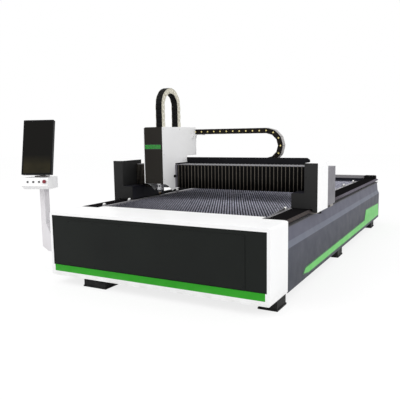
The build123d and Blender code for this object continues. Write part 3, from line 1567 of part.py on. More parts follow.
def laser_head():
    """Turned body of the cutting head with its mount on the slide plate."""
    shape = outline(
        (0, NOZZLE_TOP),
        (NOZZLE_SHOULDER_RADIUS, NOZZLE_TOP),
        (HEAD_CONE_RADIUS, HEAD_BODY_BOTTOM),
        (HEAD_RADIUS, HEAD_BODY_BOTTOM + HEAD_RADIUS - HEAD_CONE_RADIUS),
        (HEAD_RADIUS, HEAD_BODY_TOP),
        (HEAD_NECK_RADIUS, HEAD_BODY_TOP + HEAD_RADIUS - HEAD_NECK_RADIUS),
        (HEAD_NECK_RADIUS, HEAD_TOP),
        (0, HEAD_TOP),
    )
    body = revolve(Plane.XZ * shape, axis=Axis.Z)
    body = Pos(HEAD_X, station(HEAD_STATION), 0) * body
    mount = block(
        HEAD_X - HEAD_MOUNT_WIDTH / 2,
        HEAD_X + HEAD_MOUNT_WIDTH / 2,
        station(HEAD_STATION),
        station(Z_PLATE_STATION),
        HEAD_MOUNT_BOTTOM,
        HEAD_MOUNT_BOTTOM + HEAD_MOUNT_HEIGHT,
    )
    return body + mount


def nozzle():
    """Copper nozzle with its through bore."""
    shape = outline(
        (NOZZLE_BORE_RADIUS, NOZZLE_TIP),
        (NOZZLE_TIP_RADIUS, NOZZLE_TIP),
        (NOZZLE_SHOULDER_RADIUS, NOZZLE_SHOULDER),
        (NOZZLE_SHOULDER_RADIUS, NOZZLE_TOP),
        (NOZZLE_BORE_RADIUS, NOZZLE_TOP),
    )
    return Pos(HEAD_X, station(HEAD_STATION), 0) * revolve(Plane.XZ * shape, axis=Axis.Z)


# Operator console

CONSOLE_AXIS = Pos(CONSOLE_X, station(CONSOLE_STATION), 0) * Rot(0, 0, CONSOLE_YAW)
# In the console frame X points to the operator's right and -Y to the operator.


def console_column():
    """Bent sheet column that rises from an arm on the side of the bed."""
    half = COLUMN_SIZE / 2
    left = CONSOLE_X - half
    right = CONSOLE_X + half
    wall = -HALF_WIDTH - CONSOLE_FLANGE_THICKNESS
    shape = outline(
        (left, COLUMN_TOP),
        (left, ARM_BOTTOM + COLUMN_CHAMFER_Z),
        (left + COLUMN_CHAMFER_X, ARM_BOTTOM),
        (wall, ARM_BOTTOM),
        (wall, ARM_TOP),
        (right + (ARM_GUSSET_TOP - ARM_TOP) / 2, ARM_TOP),
        (right, ARM_GUSSET_TOP),
        (right, COLUMN_TOP),
    )
    y = station(CONSOLE_STATION)
    socket = Pos(CONSOLE_X, y, 0) * Circle(SWIVEL_RADIUS + RUNNING_GAP / 2)
    column = along_y(shape, y - half, y + half)
    return column - along_z(socket, COLUMN_TOP - SWIVEL_LENGTH - SEAT_GAP, COLUMN_TOP)


def console_flange():
    """Plate that bolts the console arm to the front housing."""
    y = station(CONSOLE_STATION)
    half = CONSOLE_FLANGE_WIDTH / 2
    rear = min(y + half, station(HOUSING_DEPTH) - SHEET)
    plate = block(
        -HALF_WIDTH - CONSOLE_FLANGE_THICKNESS,
        -HALF_WIDTH,
        y - half,
        rear,
        ARM_BOTTOM - CONSOLE_FLANGE_MARGIN,
        ARM_TOP + CONSOLE_FLANGE_MARGIN,
    )
    return plate


def desk_profile():
    """Side view of the control box in the console frame."""
    return outline(
        (DESK_BACK, DESK_BOTTOM),
        (DESK_BACK, DESK_TOP),
        (-DESK_REACH + DESK_FACE_LEAN, DESK_TOP),
        (-DESK_REACH, DESK_BOTTOM + DESK_FACE_BOTTOM),
        (-DESK_REACH + DESK_UNDERCUT, DESK_BOTTOM),
    )


def face_frame(across, drop):
    """Frame on the sloping face of the control box, Z away from the face."""
    rise = DESK_HEIGHT - DESK_FACE_BOTTOM
    length = (rise**2 + DESK_FACE_LEAN**2) ** 0.5
    share = drop / length
    y = -DESK_REACH + DESK_FACE_LEAN * (1 - share)
    z = DESK_TOP - rise * share
    normal = (0, -rise / length, DESK_FACE_LEAN / length)
    return CONSOLE_AXIS * Plane(origin=(across, y, z), x_dir=(1, 0, 0), z_dir=normal).location


def control_box():
    """Control box with its swivel spigot and bores for the buttons."""
    box = along_x(desk_profile(), -DESK_WIDTH / 2, DESK_WIDTH / 2)
    upright = box.edges().filter_by(Axis.Z).group_by(Axis.Y)[-1]
    box = fillet(upright, DESK_CORNER)
    box += along_z(Circle(SWIVEL_RADIUS), COLUMN_TOP - SWIVEL_LENGTH, COLUMN_TOP)
    box = CONSOLE_AXIS * box
    for index in range(3):
        spot = face_frame(BUTTON_FIRST + index * BUTTON_PITCH, BUTTON_DROP)
        box -= spot * Cylinder(BUTTON_RADIUS + RUNNING_GAP, 2 * BUTTON_HEIGHT + 2 * BUTTON_TRAVEL_GAP)
    spot = face_frame(BUTTON_FIRST + 3 * BUTTON_PITCH, BUTTON_DROP)
    box -= spot * Cylinder(STOP_NECK_RADIUS + RUNNING_GAP, 2 * BUTTON_HEIGHT + 2 * BUTTON_TRAVEL_GAP)
    return box


def button(index):
    """One push button, held in a bore of the sloping face."""
    spot = face_frame(BUTTON_FIRST + index * BUTTON_PITCH, BUTTON_DROP)
    return spot * Cylinder(BUTTON_RADIUS, 2 * BUTTON_HEIGHT)


def emergency_stop():
    """Mushroom-headed emergency stop with its neck in a bore."""
    spot = face_frame(BUTTON_FIRST + 3 * BUTTON_PITCH, BUTTON_DROP)
    neck_length = BUTTON_HEIGHT + STOP_HEIGHT - STOP_HEAD
    neck = Pos(0, 0, (STOP_HEIGHT - STOP_HEAD - BUTTON_HEIGHT) / 2) * Cylinder(STOP_NECK_RADIUS, neck_length)
    head = Pos(0, 0, STOP_HEIGHT - STOP_HEAD / 2) * Cylinder(STOP_RADIUS, STOP_HEAD)
    head = chamfer(head.edges().group_by(Axis.Z)[-1], STOP_HEAD / 4)
    return spot * (neck + head)


def monitor_location():
    """Location of the monitor: its centre, leaning back by its tilt."""
    return CONSOLE_AXIS * Pos(0, -MONITOR_FORWARD, MONITOR_CENTRE_Z) * Rot(-MONITOR_TILT, 0, 0)


def pivot():
    """Tilt pivot behind the monitor, in the console frame."""
    reach = MONITOR_DEPTH / 2 + TILT_EAR_RADIUS
    tilt = radians(MONITOR_TILT)
    return -MONITOR_FORWARD + reach * cos(tilt), MONITOR_CENTRE_Z - reach * sin(tilt)


def monitor_bracket():
    """Foot and post on the control box that carry the tilting monitor."""
    middle = pivot()[0] + TILT_EAR_RADIUS + BRACKET_POST_DEPTH / 2
    pin_y, pin_z = pivot()
    base = block(
        -BRACKET_BASE_WIDTH / 2,
        BRACKET_BASE_WIDTH / 2,
        -BRACKET_BASE_DEPTH + middle + BRACKET_POST_DEPTH / 2,
        middle + BRACKET_POST_DEPTH / 2,
        DESK_TOP,
        DESK_TOP + BRACKET_BASE_HEIGHT,
    )
    post = block(
        -BRACKET_POST_WIDTH / 2,
        BRACKET_POST_WIDTH / 2,
        middle - BRACKET_POST_DEPTH / 2,
        middle + BRACKET_POST_DEPTH / 2,
        DESK_TOP + BRACKET_BASE_HEIGHT,
        pin_z + TILT_EAR_RADIUS,
    )
    ear = block(
        -TILT_EAR_THICKNESS,
        TILT_EAR_THICKNESS,
        pin_y,
        middle - BRACKET_POST_DEPTH / 2,
        pin_z - TILT_EAR_RADIUS / 2,
        pin_z + TILT_EAR_RADIUS / 2,
    )
    pivot_axis = Pos(0, pin_y, pin_z) * Rot(0, 90, 0)
    eye = pivot_axis * Cylinder(TILT_EAR_RADIUS / 2, 2 * TILT_EAR_THICKNESS)
    bore = pivot_axis * Cylinder(TILT_PIN_RADIUS + RUNNING_GAP / 2, BRACKET_POST_WIDTH)
    return CONSOLE_AXIS * (base + post + ear + eye - bore)


def monitor_frame():
    """Monitor housing with a recessed front and two pivot ears."""
    face = RectangleRounded(MONITOR_WIDTH, MONITOR_HEIGHT, MONITOR_CORNER)
    slab = Rot(90, 0, 0) * extrude(face, MONITOR_DEPTH / 2, both=True)
    recess = GLASS_THICKNESS + GLASS_RECESS
    slab -= block(
        -MONITOR_WIDTH / 2 + MONITOR_BEZEL,
        MONITOR_WIDTH / 2 - MONITOR_BEZEL,
        -MONITOR_DEPTH / 2,
        -MONITOR_DEPTH / 2 + recess,
        -MONITOR_HEIGHT / 2 + MONITOR_BEZEL,
        MONITOR_HEIGHT / 2 - MONITOR_BEZEL,
    )
    rear_edges = slab.edges().group_by(Axis.Y)[-1]
    slab = chamfer(rear_edges, MONITOR_CORNER / 2)
    reach = MONITOR_DEPTH / 2 + TILT_EAR_RADIUS
    for side in (1, -1):
        near = TILT_EAR_THICKNESS + SEAT_GAP
        ear = block(
            side * near,
            side * (near + TILT_EAR_THICKNESS),
            MONITOR_DEPTH / 2,
            reach,
            -TILT_EAR_RADIUS / 2,
            TILT_EAR_RADIUS / 2,
        )
        eye = Pos(side * (near + TILT_EAR_THICKNESS / 2), reach, 0) * Rot(0, 90, 0)
        slab += ear + eye * Cylinder(TILT_EAR_RADIUS / 2, TILT_EAR_THICKNESS)
    pin_length = 2 * (2 * TILT_EAR_THICKNESS + SEAT_GAP)
    pin = Pos(0, reach, 0) * Rot(0, 90, 0) * Cylinder(TILT_PIN_RADIUS, pin_length)
    return monitor_location() * (slab + pin)


def monitor_glass():
    """Screen glass set into the recess of the monitor."""
    front = -MONITOR_DEPTH / 2 + GLASS_RECESS
    glass = block(
        -MONITOR_WIDTH / 2 + MONITOR_BEZEL,
        MONITOR_WIDTH / 2 - MONITOR_BEZEL,
        front,
        front + GLASS_THICKNESS,
        -MONITOR_HEIGHT / 2 + MONITOR_BEZEL,
        MONITOR_HEIGHT / 2 - MONITOR_BEZEL,
    )
    return monitor_location() * glass


# Write every piece

save("bed_beams", bed_beam(1), bed_beam(-1))
save("bed_cross_tubes", *cross_members(), *table_tubes(), *table_bearers())
save("machine_feet", *machine_feet())
save("front_housing", front_housing())
save("front_panel", front_panel())
save("front_access_cover", front_access_cover())
save("front_green_strip", front_green_strip())
save("side_panels", side_panel(1), side_panel(-1))
save("side_stripes", side_stripe(1), side_stripe(-1))
save("rear_panel", rear_panel())
save("rear_crossbar", rear_crossbar())
save("rail_covers", rail_cover(1), rail_cover(-1))
save("rail_end_blocks", rail_end_block(1), rail_end_block(-1))
save("y_guides", y_rail(1), y_rack(1), y_rail(-1), y_rack(-1))
save("table_rails", table_rail(1), table_rail(-1))
save("table_slats", *table_slats())
save("table_rollers", *table_rollers())
save("guide_ramp", guide_ramp())
save("slag_plates", *slag_plates())
save("gantry_beam", gantry_beam())
save("saddles", saddle(1), saddle(-1))
save("saddle_feet", *foot_brackets(1), *foot_brackets(-1))
save("y_sliders", *y_sliders())
save("end_front_covers", end_front_cover(1), end_front_cover(-1))
save("end_side_covers", end_side_cover(1), end_side_cover(-1))
save("end_rear_covers", end_rear_cover(1), end_rear_cover(-1))
save("y_motors", y_motor(1), y_motor(-1))
save("y_pinion_right", y_pinion(1))
save("y_pinion_left", y_pinion(-1))
save("x_guides", *x_rails(), x_rack())
save("bellows_right", bellows(COVER_RIGHT_X + SEAT_GAP, BELLOWS_END_X, RIGHT_PLEATS))
save("bellows_left", bellows(-BELLOWS_END_X, COVER_LEFT_X - SEAT_GAP, LEFT_PLEATS))
save("cable_tray", cable_tray(), x_chain_anchor())
save("x_chain_lower", x_chain_lower())
save("x_chain_loop", x_chain_loop())
save("x_chain_upper", x_chain_upper())
save("head_housing", head_housing())
save("head_face_panel", head_face_panel())
save("head_display", display_room())
save("head_latch", head_latch())
save("chain_arm", chain_arm())
save("carriage_plate", carriage_plate(), *z_rails(), *x_sliders())
save("carriage_motors", x_motor(), z_motor())
save("x_pinion", x_pinion())
save("z_screw", z_screw())
save("z_slide", z_slide())
save("laser_head", laser_head())
save("nozzle", nozzle())
save("z_chain_legs", z_chain_leg(Z_CHAIN_FRONT), z_chain_leg(Z_CHAIN_REAR))
save("z_chain_loop", z_chain_loop())
save("console_column", console_column(), console_flange())
save("control_box", control_box())
save("monitor_bracket", monitor_bracket())
save("monitor_frame", monitor_frame())
save("monitor_glass", monitor_glass())
save("start_button", button(0))
save("pause_button", button(1))
save("reset_button", button(2))
save("emergency_stop", emergency_stop())
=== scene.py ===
"""Flat-bed sheet-metal laser cutting machine: finishes, fine pieces, light and view."""

import logging
import math
from dataclasses import dataclass
from enum import Enum
from typing import Callable, Sequence

import bpy
from mathutils import Matrix, Vector


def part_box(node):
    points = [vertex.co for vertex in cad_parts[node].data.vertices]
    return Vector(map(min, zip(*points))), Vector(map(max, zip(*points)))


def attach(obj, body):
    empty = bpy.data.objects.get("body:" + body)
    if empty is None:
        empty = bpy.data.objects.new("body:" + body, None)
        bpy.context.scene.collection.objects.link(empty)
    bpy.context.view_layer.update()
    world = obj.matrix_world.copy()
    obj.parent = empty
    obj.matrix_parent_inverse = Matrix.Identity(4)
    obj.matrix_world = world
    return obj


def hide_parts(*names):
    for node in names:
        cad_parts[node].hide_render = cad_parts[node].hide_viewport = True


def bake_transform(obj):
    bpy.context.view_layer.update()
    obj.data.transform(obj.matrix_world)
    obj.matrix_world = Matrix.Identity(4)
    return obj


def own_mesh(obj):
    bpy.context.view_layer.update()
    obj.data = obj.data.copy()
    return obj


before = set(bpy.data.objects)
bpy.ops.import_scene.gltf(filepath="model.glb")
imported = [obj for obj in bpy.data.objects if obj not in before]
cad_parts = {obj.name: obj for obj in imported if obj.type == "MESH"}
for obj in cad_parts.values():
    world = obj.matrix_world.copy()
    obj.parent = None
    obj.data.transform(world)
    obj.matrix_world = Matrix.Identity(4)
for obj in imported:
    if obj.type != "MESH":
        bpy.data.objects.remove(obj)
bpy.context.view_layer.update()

Corner = tuple[float, float, float]
Flat = tuple[float, float]
Placer = Callable[[float, float, float], Corner]
Material = bpy.types.Material
Socket = bpy.types.NodeSocket
Piece = bpy.types.Object

log = logging.getLogger("cutting_machine")

BED_FRONT = -2.425


def station(distance: float) -> float:
    """Y position of a distance from the front face of the bed, both in metres."""
    return BED_FRONT + distance


def linear(code: str) -> tuple[float, float, float, float]:
    """Turn a six-digit screen colour into the shader's linear colour.

    Args:
        code: Screen colour such as "2ca01e".

    Returns:
        Linear red, green, blue and an alpha of one.
    """
    channels = [int(code[i : i + 2], 16) / 255 for i in (0, 2, 4)]
    values = [c / 12.92 if c <= 0.04045 else ((c + 0.055) / 1.055) ** 2.4 for c in channels]
    return (values[0], values[1], values[2], 1.0)


class Grain(Enum):
    """Direction in which a worked surface is stretched."""

    ALONG_X = (0.04, 1.0, 1.0)
    ALONG_Y = (1.0, 0.04, 1.0)
    ALONG_Z = (1.0, 1.0, 0.04)
    EVEN = (1.0, 1.0, 1.0)


class ShaderDesk:
    """Node tree of one material, with short ways to add and join its nodes."""

    def __init__(self, name: str) -> None:
        """Start a material with one principled shader.

        Args:
            name: Name of the new material.
        """
        self.material = bpy.data.materials.new(name)
        self.material.use_nodes = True
        self.tree = self.material.node_tree
        self.tree.nodes.clear()
        self.out = self.tree.nodes.new("ShaderNodeOutputMaterial")
        self.shader = self.tree.nodes.new("ShaderNodeBsdfPrincipled")
        self.tree.links.new(self.shader.outputs["BSDF"], self.out.inputs["Surface"])
        self.place = self.tree.nodes.new("ShaderNodeTexCoord").outputs["Object"]

    def join(self, source: Socket, target: Socket) -> None:
        """Link two sockets."""
        self.tree.links.new(source, target)

    def set(self, **values: float) -> None:
        """Set constants on the shader's own sockets, named with underscores for spaces."""
        for name, value in values.items():
            self.shader.inputs[name.replace("_", " ")].default_value = value

    def paint(self, colour: Socket) -> None:
        """Use a socket as the base colour."""
        self.join(colour, self.shader.inputs["Base Color"])

    def dull(self, roughness: Socket) -> None:
        """Use a socket as the roughness."""
        self.join(roughness, self.shader.inputs["Roughness"])

    def noise(
        self, scale: float, detail: float = 3.0, grain: Grain = Grain.EVEN, rough: float = 0.55
    ) -> Socket:
        """Add a noise field in the object's own metres.

        Args:
            scale: Cells for each metre.
            detail: Number of finer layers.
            grain: Direction in which the field is stretched.
            rough: Strength of the finer layers.

        Returns:
            Socket with values from 0 to 1.
        """
        mapping = self.tree.nodes.new("ShaderNodeMapping")
        mapping.inputs["Scale"].default_value = grain.value
        self.join(self.place, mapping.inputs["Vector"])
        node = self.tree.nodes.new("ShaderNodeTexNoise")
        node.inputs["Scale"].default_value = scale
        node.inputs["Detail"].default_value = detail
        node.inputs["Roughness"].default_value = rough
        self.join(mapping.outputs["Vector"], node.inputs["Vector"])
        return node.outputs["Fac"]

    def spread(
        self, value: Socket, low: float, high: float, to_low: float = 0.0, to_high: float = 1.0
    ) -> Socket:
        """Map a value from one span to another and clamp it.

        Args:
            value: Incoming socket.
            low: Input that gives to_low.
            high: Input that gives to_high.
            to_low: Result at low.
            to_high: Result at high.

        Returns:
            Socket with the mapped value.
        """
        node = self.tree.nodes.new("ShaderNodeMapRange")
        node.clamp = True
        names = ("From Min", "From Max", "To Min", "To Max")
        for name, number in zip(names, (low, high, to_low, to_high)):
            node.inputs[name].default_value = number
        self.join(value, node.inputs["Value"])
        return node.outputs["Result"]

    def combine(
        self, operation: str, first: Socket, second: Socket | float | None = None
    ) -> Socket:
        """Add a math node.

        Args:
            operation: Blender's name of the operation.
            first: First value.
            second: Second value, a socket or a number, where the operation has one.

        Returns:
            Socket with the result.
        """
        node = self.tree.nodes.new("ShaderNodeMath")
        node.operation = operation
        self.join(first, node.inputs[0])
        if isinstance(second, Socket):
            self.join(second, node.inputs[1])
        elif second is not None:
            node.inputs[1].default_value = second
        return node.outputs[0]

    def times(self, first: Socket, second: Socket) -> Socket:
        """Product of two values."""
        return self.combine("MULTIPLY", first, second)

    def axis(self, letter: str) -> Socket:
        """Add a socket with one coordinate of the object.

        Args:
            letter: X, Y or Z.

        Returns:
            Socket with the coordinate in metres.
        """
        node = self.tree.nodes.new("ShaderNodeSeparateXYZ")
        self.join(self.place, node.inputs[0])
        return node.outputs[letter]

    def band(self, letter: str, pitch: float, share: float) -> Socket:
        """Stripes across one axis: one for a share of each pitch in metres, zero between."""
        turns = self.combine("MULTIPLY", self.axis(letter), 1 / pitch)
        return self.combine("LESS_THAN", self.combine("FRACT", turns), share)

    def attribute(self, name: str) -> Socket:
        """Add a socket with the value that each corner of the mesh carries.

        Args:
            name: Name of the value.

        Returns:
            Socket with the value.
        """
        node = self.tree.nodes.new("ShaderNodeAttribute")
        node.attribute_name = name
        return node.outputs["Fac"]

    def mixed(self, share: Socket, first: str | Socket, second: str | Socket) -> Socket:
        """Blend two colours.

        Args:
            share: Socket that is 0 for the first and 1 for the second.
            first: Screen colour code or colour socket.
            second: Screen colour code or colour socket.

        Returns:
            Colour socket.
        """
        node = self.tree.nodes.new("ShaderNodeMix")
        node.data_type = "RGBA"
        self.join(share, node.inputs[0])
        for socket, colour in ((node.inputs[6], first), (node.inputs[7], second)):
            if isinstance(colour, str):
                socket.default_value = linear(colour)
            else:
                self.join(colour, socket)
        return node.outputs[2]

    def bump(self, height: Socket, strength: float, depth: float) -> None:
        """Raise the surface by a height field, over any bump that is already there.

        Args:
            height: Value socket.
            strength: Share of the effect.
            depth: Height in metres of a value of one.
        """
        node = self.tree.nodes.new("ShaderNodeBump")
        node.inputs["Strength"].default_value = strength
        node.inputs["Distance"].default_value = depth
        self.join(height, node.inputs["Height"])
        before = self.shader.inputs["Normal"].links
        if before:
            self.join(before[0].from_socket, node.inputs["Normal"])
        self.join(node.outputs["Normal"], self.shader.inputs["Normal"])

    def scuffs(self, most: float) -> Socket:
        """Share of fine handling scuffs, at most the given one."""
        return self.spread(self.noise(34.0, 8.0, rough=0.7), 0.64, 0.76, 0.0, most)

    def floor_dust(self, top: float, most: float) -> Socket:
        """Share of the dust that clings near the floor, at most the given one below top."""
        low = self.spread(self.axis("Z"), 0.08, top, most, 0.0)
        return self.times(low, self.spread(self.noise(9.0, 6.0), 0.35, 0.7))

    def paint_skin(self, low: float, high: float, peel: float) -> None:
        """Give baked paint its gloss, uneven from low to high roughness, and its peel."""
        self.dull(self.spread(self.noise(7.0, 5.0), 0.3, 0.75, low, high))
        self.bump(self.noise(330.0, 2.0), peel, 0.0004)


@dataclass(frozen=True)
class PowderCoat:
    """Baked powder paint: orange-peel skin, faint clouds, small scuffs and floor dust."""

    name: str
    colour: str
    shade: str
    scuff: str
    roughness: float = 0.42
    peel: float = 0.22
    gloss: float = 0.3
    dust_height: float = 0.0
    foot_colour: str = ""
    foot_height: float = 1.05

    def build(self) -> Material:
        """Make the material of this paint.

        Returns:
            The material.
        """
        desk = ShaderDesk(self.name)
        clouds = desk.spread(desk.noise(1.7, 4.0), 0.35, 0.7)
        colour = desk.mixed(clouds, self.colour, self.shade)
        if self.foot_colour:
            lower = desk.spread(desk.axis("Z"), self.foot_height, 0.1)
            colour = desk.mixed(lower, colour, self.foot_colour)
        colour = desk.mixed(desk.scuffs(0.55), colour, self.scuff)
        if self.dust_height > 0:
            colour = desk.mixed(desk.floor_dust(self.dust_height, 0.42), colour, self.scuff)
        desk.paint(colour)
        desk.paint_skin(self.roughness - 0.05, self.roughness + 0.09, self.peel)
        desk.bump(desk.noise(2.2, 1.0), 0.05, 0.004)
        desk.set(Specular_IOR_Level=self.gloss)
        return desk.material


@dataclass(frozen=True)
class FoldedPanelPaint:
    """Paint of the side panels, with painted light: a painted highlight on the fold, painted shade
    on the wall below it that deepens towards the foot, and a painted shadow along the top edge
    under the rail cover.
    """

    name: str = "side_grey"
    upper: str = "585967"
    # painted highlight: colour of the fold band, paler where the fold catches more light
    fold: str = "6a6e7b"
    # painted shade: colour of the wall below the fold, darker where it gets less light
    lower: str = "444652"
    # painted shade: the wall grows darker still towards the floor
    foot: str = "33363f"
    # painted shadow: the top edge of the panel in the slot under the rail cover
    edge: str = "1d1d21"
    dust: str = "666773"
    fold_top: float = 0.525
    fold_bottom: float = 0.475
    foot_height: float = 0.12
    edge_height: float = 0.644
    step: float = 0.003

    def build(self) -> Material:
        """Make the material of the side panels.

        Returns:
            The material.
        """
        desk = ShaderDesk(self.name)
        height = desk.axis("Z")
        # painted light by height: a highlight on the fold band, shade on the wall below it, deeper
        # shade towards its foot
        fold_highlight_share = desk.spread(height, self.fold_top, self.fold_top - self.step)
        below = desk.spread(height, self.fold_bottom, self.fold_bottom - self.step)
        # painted shadow along the top edge, under the rail cover
        edge_shadow_share = desk.spread(height, self.edge_height, self.edge_height + self.step)
        foot_shade_share = desk.spread(height, self.fold_bottom, self.foot_height)
        wall = desk.mixed(foot_shade_share, self.lower, self.foot)
        colour = desk.mixed(fold_highlight_share, self.upper, self.fold)
        colour = desk.mixed(edge_shadow_share, desk.mixed(below, colour, wall), self.edge)
        colour = desk.mixed(desk.scuffs(0.4), colour, self.dust)
        desk.paint(desk.mixed(desk.floor_dust(0.22, 0.3), colour, self.dust))
        desk.paint_skin(0.45, 0.58, 0.25)
        desk.set(Specular_IOR_Level=0.15)
        return desk.material


@dataclass(frozen=True)
class RailCoverPaint:
    """Dull black paint of the rail covers, marked on the outer fold, which a painted highlight
    makes pale and a painted shadow of the gantry darkens towards the front.
    """

    name: str = "cover_black"
    top: str = "171617"
    scuff: str = "262526"
    # painted light: the outer fold, paler than the top where it catches light, darker at the front
    # in a painted shadow of the gantry
    side_front_shadowed: str = "4c4745"
    side_rear_lit: str = "6b6770"
    mark: str = "3a373d"
    side_from: float = 1.1215
    side_step: float = 0.0015
    mark_pitch: float = 0.085
    mark_share: float = 0.2
    # painted shadow of the gantry: full in front of the first station, gone behind the second
    shadow_fade_from: float = station(1.6)
    shadow_fade_to: float = station(2.6)

    def build(self) -> Material:
        """Make the material of the rail covers.

        Returns:
            The material.
        """
        desk = ShaderDesk(self.name)
        top = desk.mixed(desk.scuffs(0.5), self.top, self.scuff)
        # painted shadow of the gantry darkens the fold's front, fading out towards the rear
        along = desk.spread(desk.axis("Y"), self.shadow_fade_from, self.shadow_fade_to)
        side = desk.mixed(along, self.side_front_shadowed, self.side_rear_lit)
        worn = desk.spread(desk.noise(12.0, 3.0), 0.3, 0.6, 0.3, 0.8)
        marks = desk.times(desk.band("Y", self.mark_pitch, self.mark_share), worn)
        side = desk.mixed(marks, side, self.mark)
        # painted highlight: the outer fold is paler than the top
        across = desk.combine("ABSOLUTE", desk.axis("X"))
        outer = desk.spread(across, self.side_from, self.side_from + self.side_step)
        desk.paint(desk.mixed(outer, top, side))
        desk.paint_skin(0.55, 0.7, 0.3)
        desk.set(Specular_IOR_Level=0.0)
        return desk.material


@dataclass(frozen=True)
class WorkedSteel:
    """Bare or plated metal with tool marks and tarnish."""

    name: str
    colour: str
    stain: str
    grain: Grain
    roughness: float
    marks: float
    stained: float
    metallic: float = 1.0

    def build(self) -> Material:
        """Make the material of this metal.

        Returns:
            The material.
        """
        desk = ShaderDesk(self.name)
        lines = desk.noise(420.0, 3.0, self.grain)
        spots = desk.spread(desk.noise(11.0, 7.0, rough=0.65), 0.48, 0.72, 0.0, self.stained)
        desk.paint(desk.mixed(spots, self.colour, self.stain))
        desk.dull(desk.spread(lines, 0.2, 0.8, self.roughness - 0.08, self.roughness + 0.12))
        desk.bump(lines, self.marks, 0.0003)
        desk.set(Metallic=self.metallic)
        return desk.material


@dataclass(frozen=True)
class SlagSteel:
    """Laser-cut slat steel: dull body, pale worn teeth that a painted shadow of the gantry dims on
    the left and that grow dimmer towards the front, burnt streaks and spatter.
    """

    name: str = "slat_steel"
    body: str = "17171b"
    worn: str = "e0e0f2"
    burnt: str = "141211"
    worn_from: float = 0.6935
    worn_to: float = 0.7060
    # painted shadow of the gantry: the pale tips dim towards the left across this span of X
    gantry_shadow_x: Flat = (-0.9, 0.2)
    # the pale tips grow dimmer towards the front across this span of Y
    front_dim_y: Flat = (-1.86, -1.1)

    def build(self) -> Material:
        """Make the material of the slats.

        Returns:
            The material.
        """
        desk = ShaderDesk(self.name)
        height = desk.spread(desk.axis("Z"), self.worn_from, self.worn_to)
        patchy = desk.spread(desk.noise(46.0, 6.0), 0.25, 0.6, 0.45, 1.0)
        # painted shadow of the gantry dims the pale tips on the left of the table
        gantry_shadow_share = desk.spread(desk.axis("X"), *self.gantry_shadow_x, 0.4, 1.0)
        # the pale tips grow dimmer towards the front
        front_dim_share = desk.spread(desk.axis("Y"), *self.front_dim_y, 0.5, 1.0)
        # worn tips, dimmed on the left by the painted gantry shadow and darker towards the front
        worn = desk.times(desk.times(height, patchy), desk.times(gantry_shadow_share, front_dim_share))
        streaks = desk.spread(desk.noise(60.0, 7.0, Grain.ALONG_Z, 0.7), 0.56, 0.72, 0.0, 0.8)
        desk.paint(desk.mixed(streaks, desk.mixed(worn, self.body, self.worn), self.burnt))
        desk.dull(desk.spread(desk.noise(25.0, 4.0), 0.3, 0.7, 0.45, 0.66))
        desk.bump(desk.noise(260.0, 6.0, rough=0.7), 0.5, 0.0009)
        desk.set(Metallic=0.25, Specular_IOR_Level=0.2)
        return desk.material


@dataclass(frozen=True)
class MouldedPlastic:
    """Injection-moulded plastic with a fine spark-eroded grain and handling marks."""

    name: str
    colour: str
    worn: str
    roughness: float
    grain_depth: float = 0.3
    gloss: float = 0.3

    def build(self) -> Material:
        """Make the material of this plastic.

        Returns:
            The material.
        """
        desk = ShaderDesk(self.name)
        handled = desk.spread(desk.noise(16.0, 6.0, rough=0.65), 0.5, 0.74, 0.0, 0.5)
        desk.paint(desk.mixed(handled, self.colour, self.worn))
        low, high = self.roughness - 0.06, self.roughness + 0.08
        desk.dull(desk.spread(desk.noise(22.0, 3.0), 0.3, 0.7, low, high))
        desk.bump(desk.noise(900.0, 2.0), self.grain_depth, 0.00025)
        desk.set(Specular_IOR_Level=self.gloss)
        return desk.material


@dataclass(frozen=True)
class CoatedCloth:
    """Rubber-coated cloth of the way covers: woven ground and rubbed pleat edges."""

    name: str = "way_cover_cloth"
    colour: str = "060606"
    rubbed: str = "7a736a"
    dusty: str = "a5a4a8"
    weave_scale: float = 170.0

    def build(self) -> Material:
        """Make the material of the pleats.

        Returns:
            The material.
        """
        desk = ShaderDesk(self.name)
        crest = desk.spread(desk.attribute("crest"), 0.93, 1.0)
        patchy = desk.spread(desk.noise(38.0, 5.0), 0.25, 0.62, 0.85, 1.0)
        colour = desk.mixed(desk.times(crest, patchy), self.colour, self.rubbed)
        dust = desk.spread(desk.attribute("dust"), 0.0, 1.0, 0.0, 0.8)
        desk.paint(desk.mixed(desk.times(dust, patchy), colour, self.dusty))
        desk.dull(desk.spread(desk.noise(30.0, 3.0), 0.3, 0.7, 0.55, 0.72))
        for direction in ("X", "Z"):
            wave = desk.tree.nodes.new("ShaderNodeTexWave")
            wave.bands_direction = direction
            wave.inputs["Scale"].default_value = self.weave_scale
            wave.inputs["Distortion"].default_value = 0.4
            desk.join(desk.place, wave.inputs["Vector"])
            desk.bump(wave.outputs["Fac"], 0.35, 0.0003)
        desk.set(Specular_IOR_Level=0.08)
        return desk.material


@dataclass(frozen=True)
class ScreenGlass:
    """Dark screen behind touch glass, with a warm painted reflection over its lower part and faint
    finger smears in its gloss.
    """

    name: str = "screen_glass"
    colour: str = "0c0b08"
    # painted reflection: warm glow over the lower part of the screen
    painted_reflection: str = "2b2718"
    reflection_full: float = 1.16
    reflection_end: float = 1.26

    def build(self) -> Material:
        """Make the material of the screen.

        Returns:
            The material.
        """
        desk = ShaderDesk(self.name)
        # painted reflection: strong over the lower part of the screen, gone higher up, in cloudy
        # patches
        lower = desk.spread(desk.axis("Z"), self.reflection_full, self.reflection_end, 0.9, 0.0)
        reflection_share = desk.times(lower, desk.spread(desk.noise(6.0, 3.0), 0.3, 0.6, 0.6, 1.0))
        desk.paint(desk.mixed(reflection_share, self.colour, self.painted_reflection))
        desk.dull(desk.spread(desk.noise(22.0, 5.0, Grain.ALONG_Z), 0.5, 0.75, 0.06, 0.2))
        desk.bump(desk.noise(3.0, 1.0), 0.03, 0.001)
        desk.set(Specular_IOR_Level=0.12)
        return desk.material


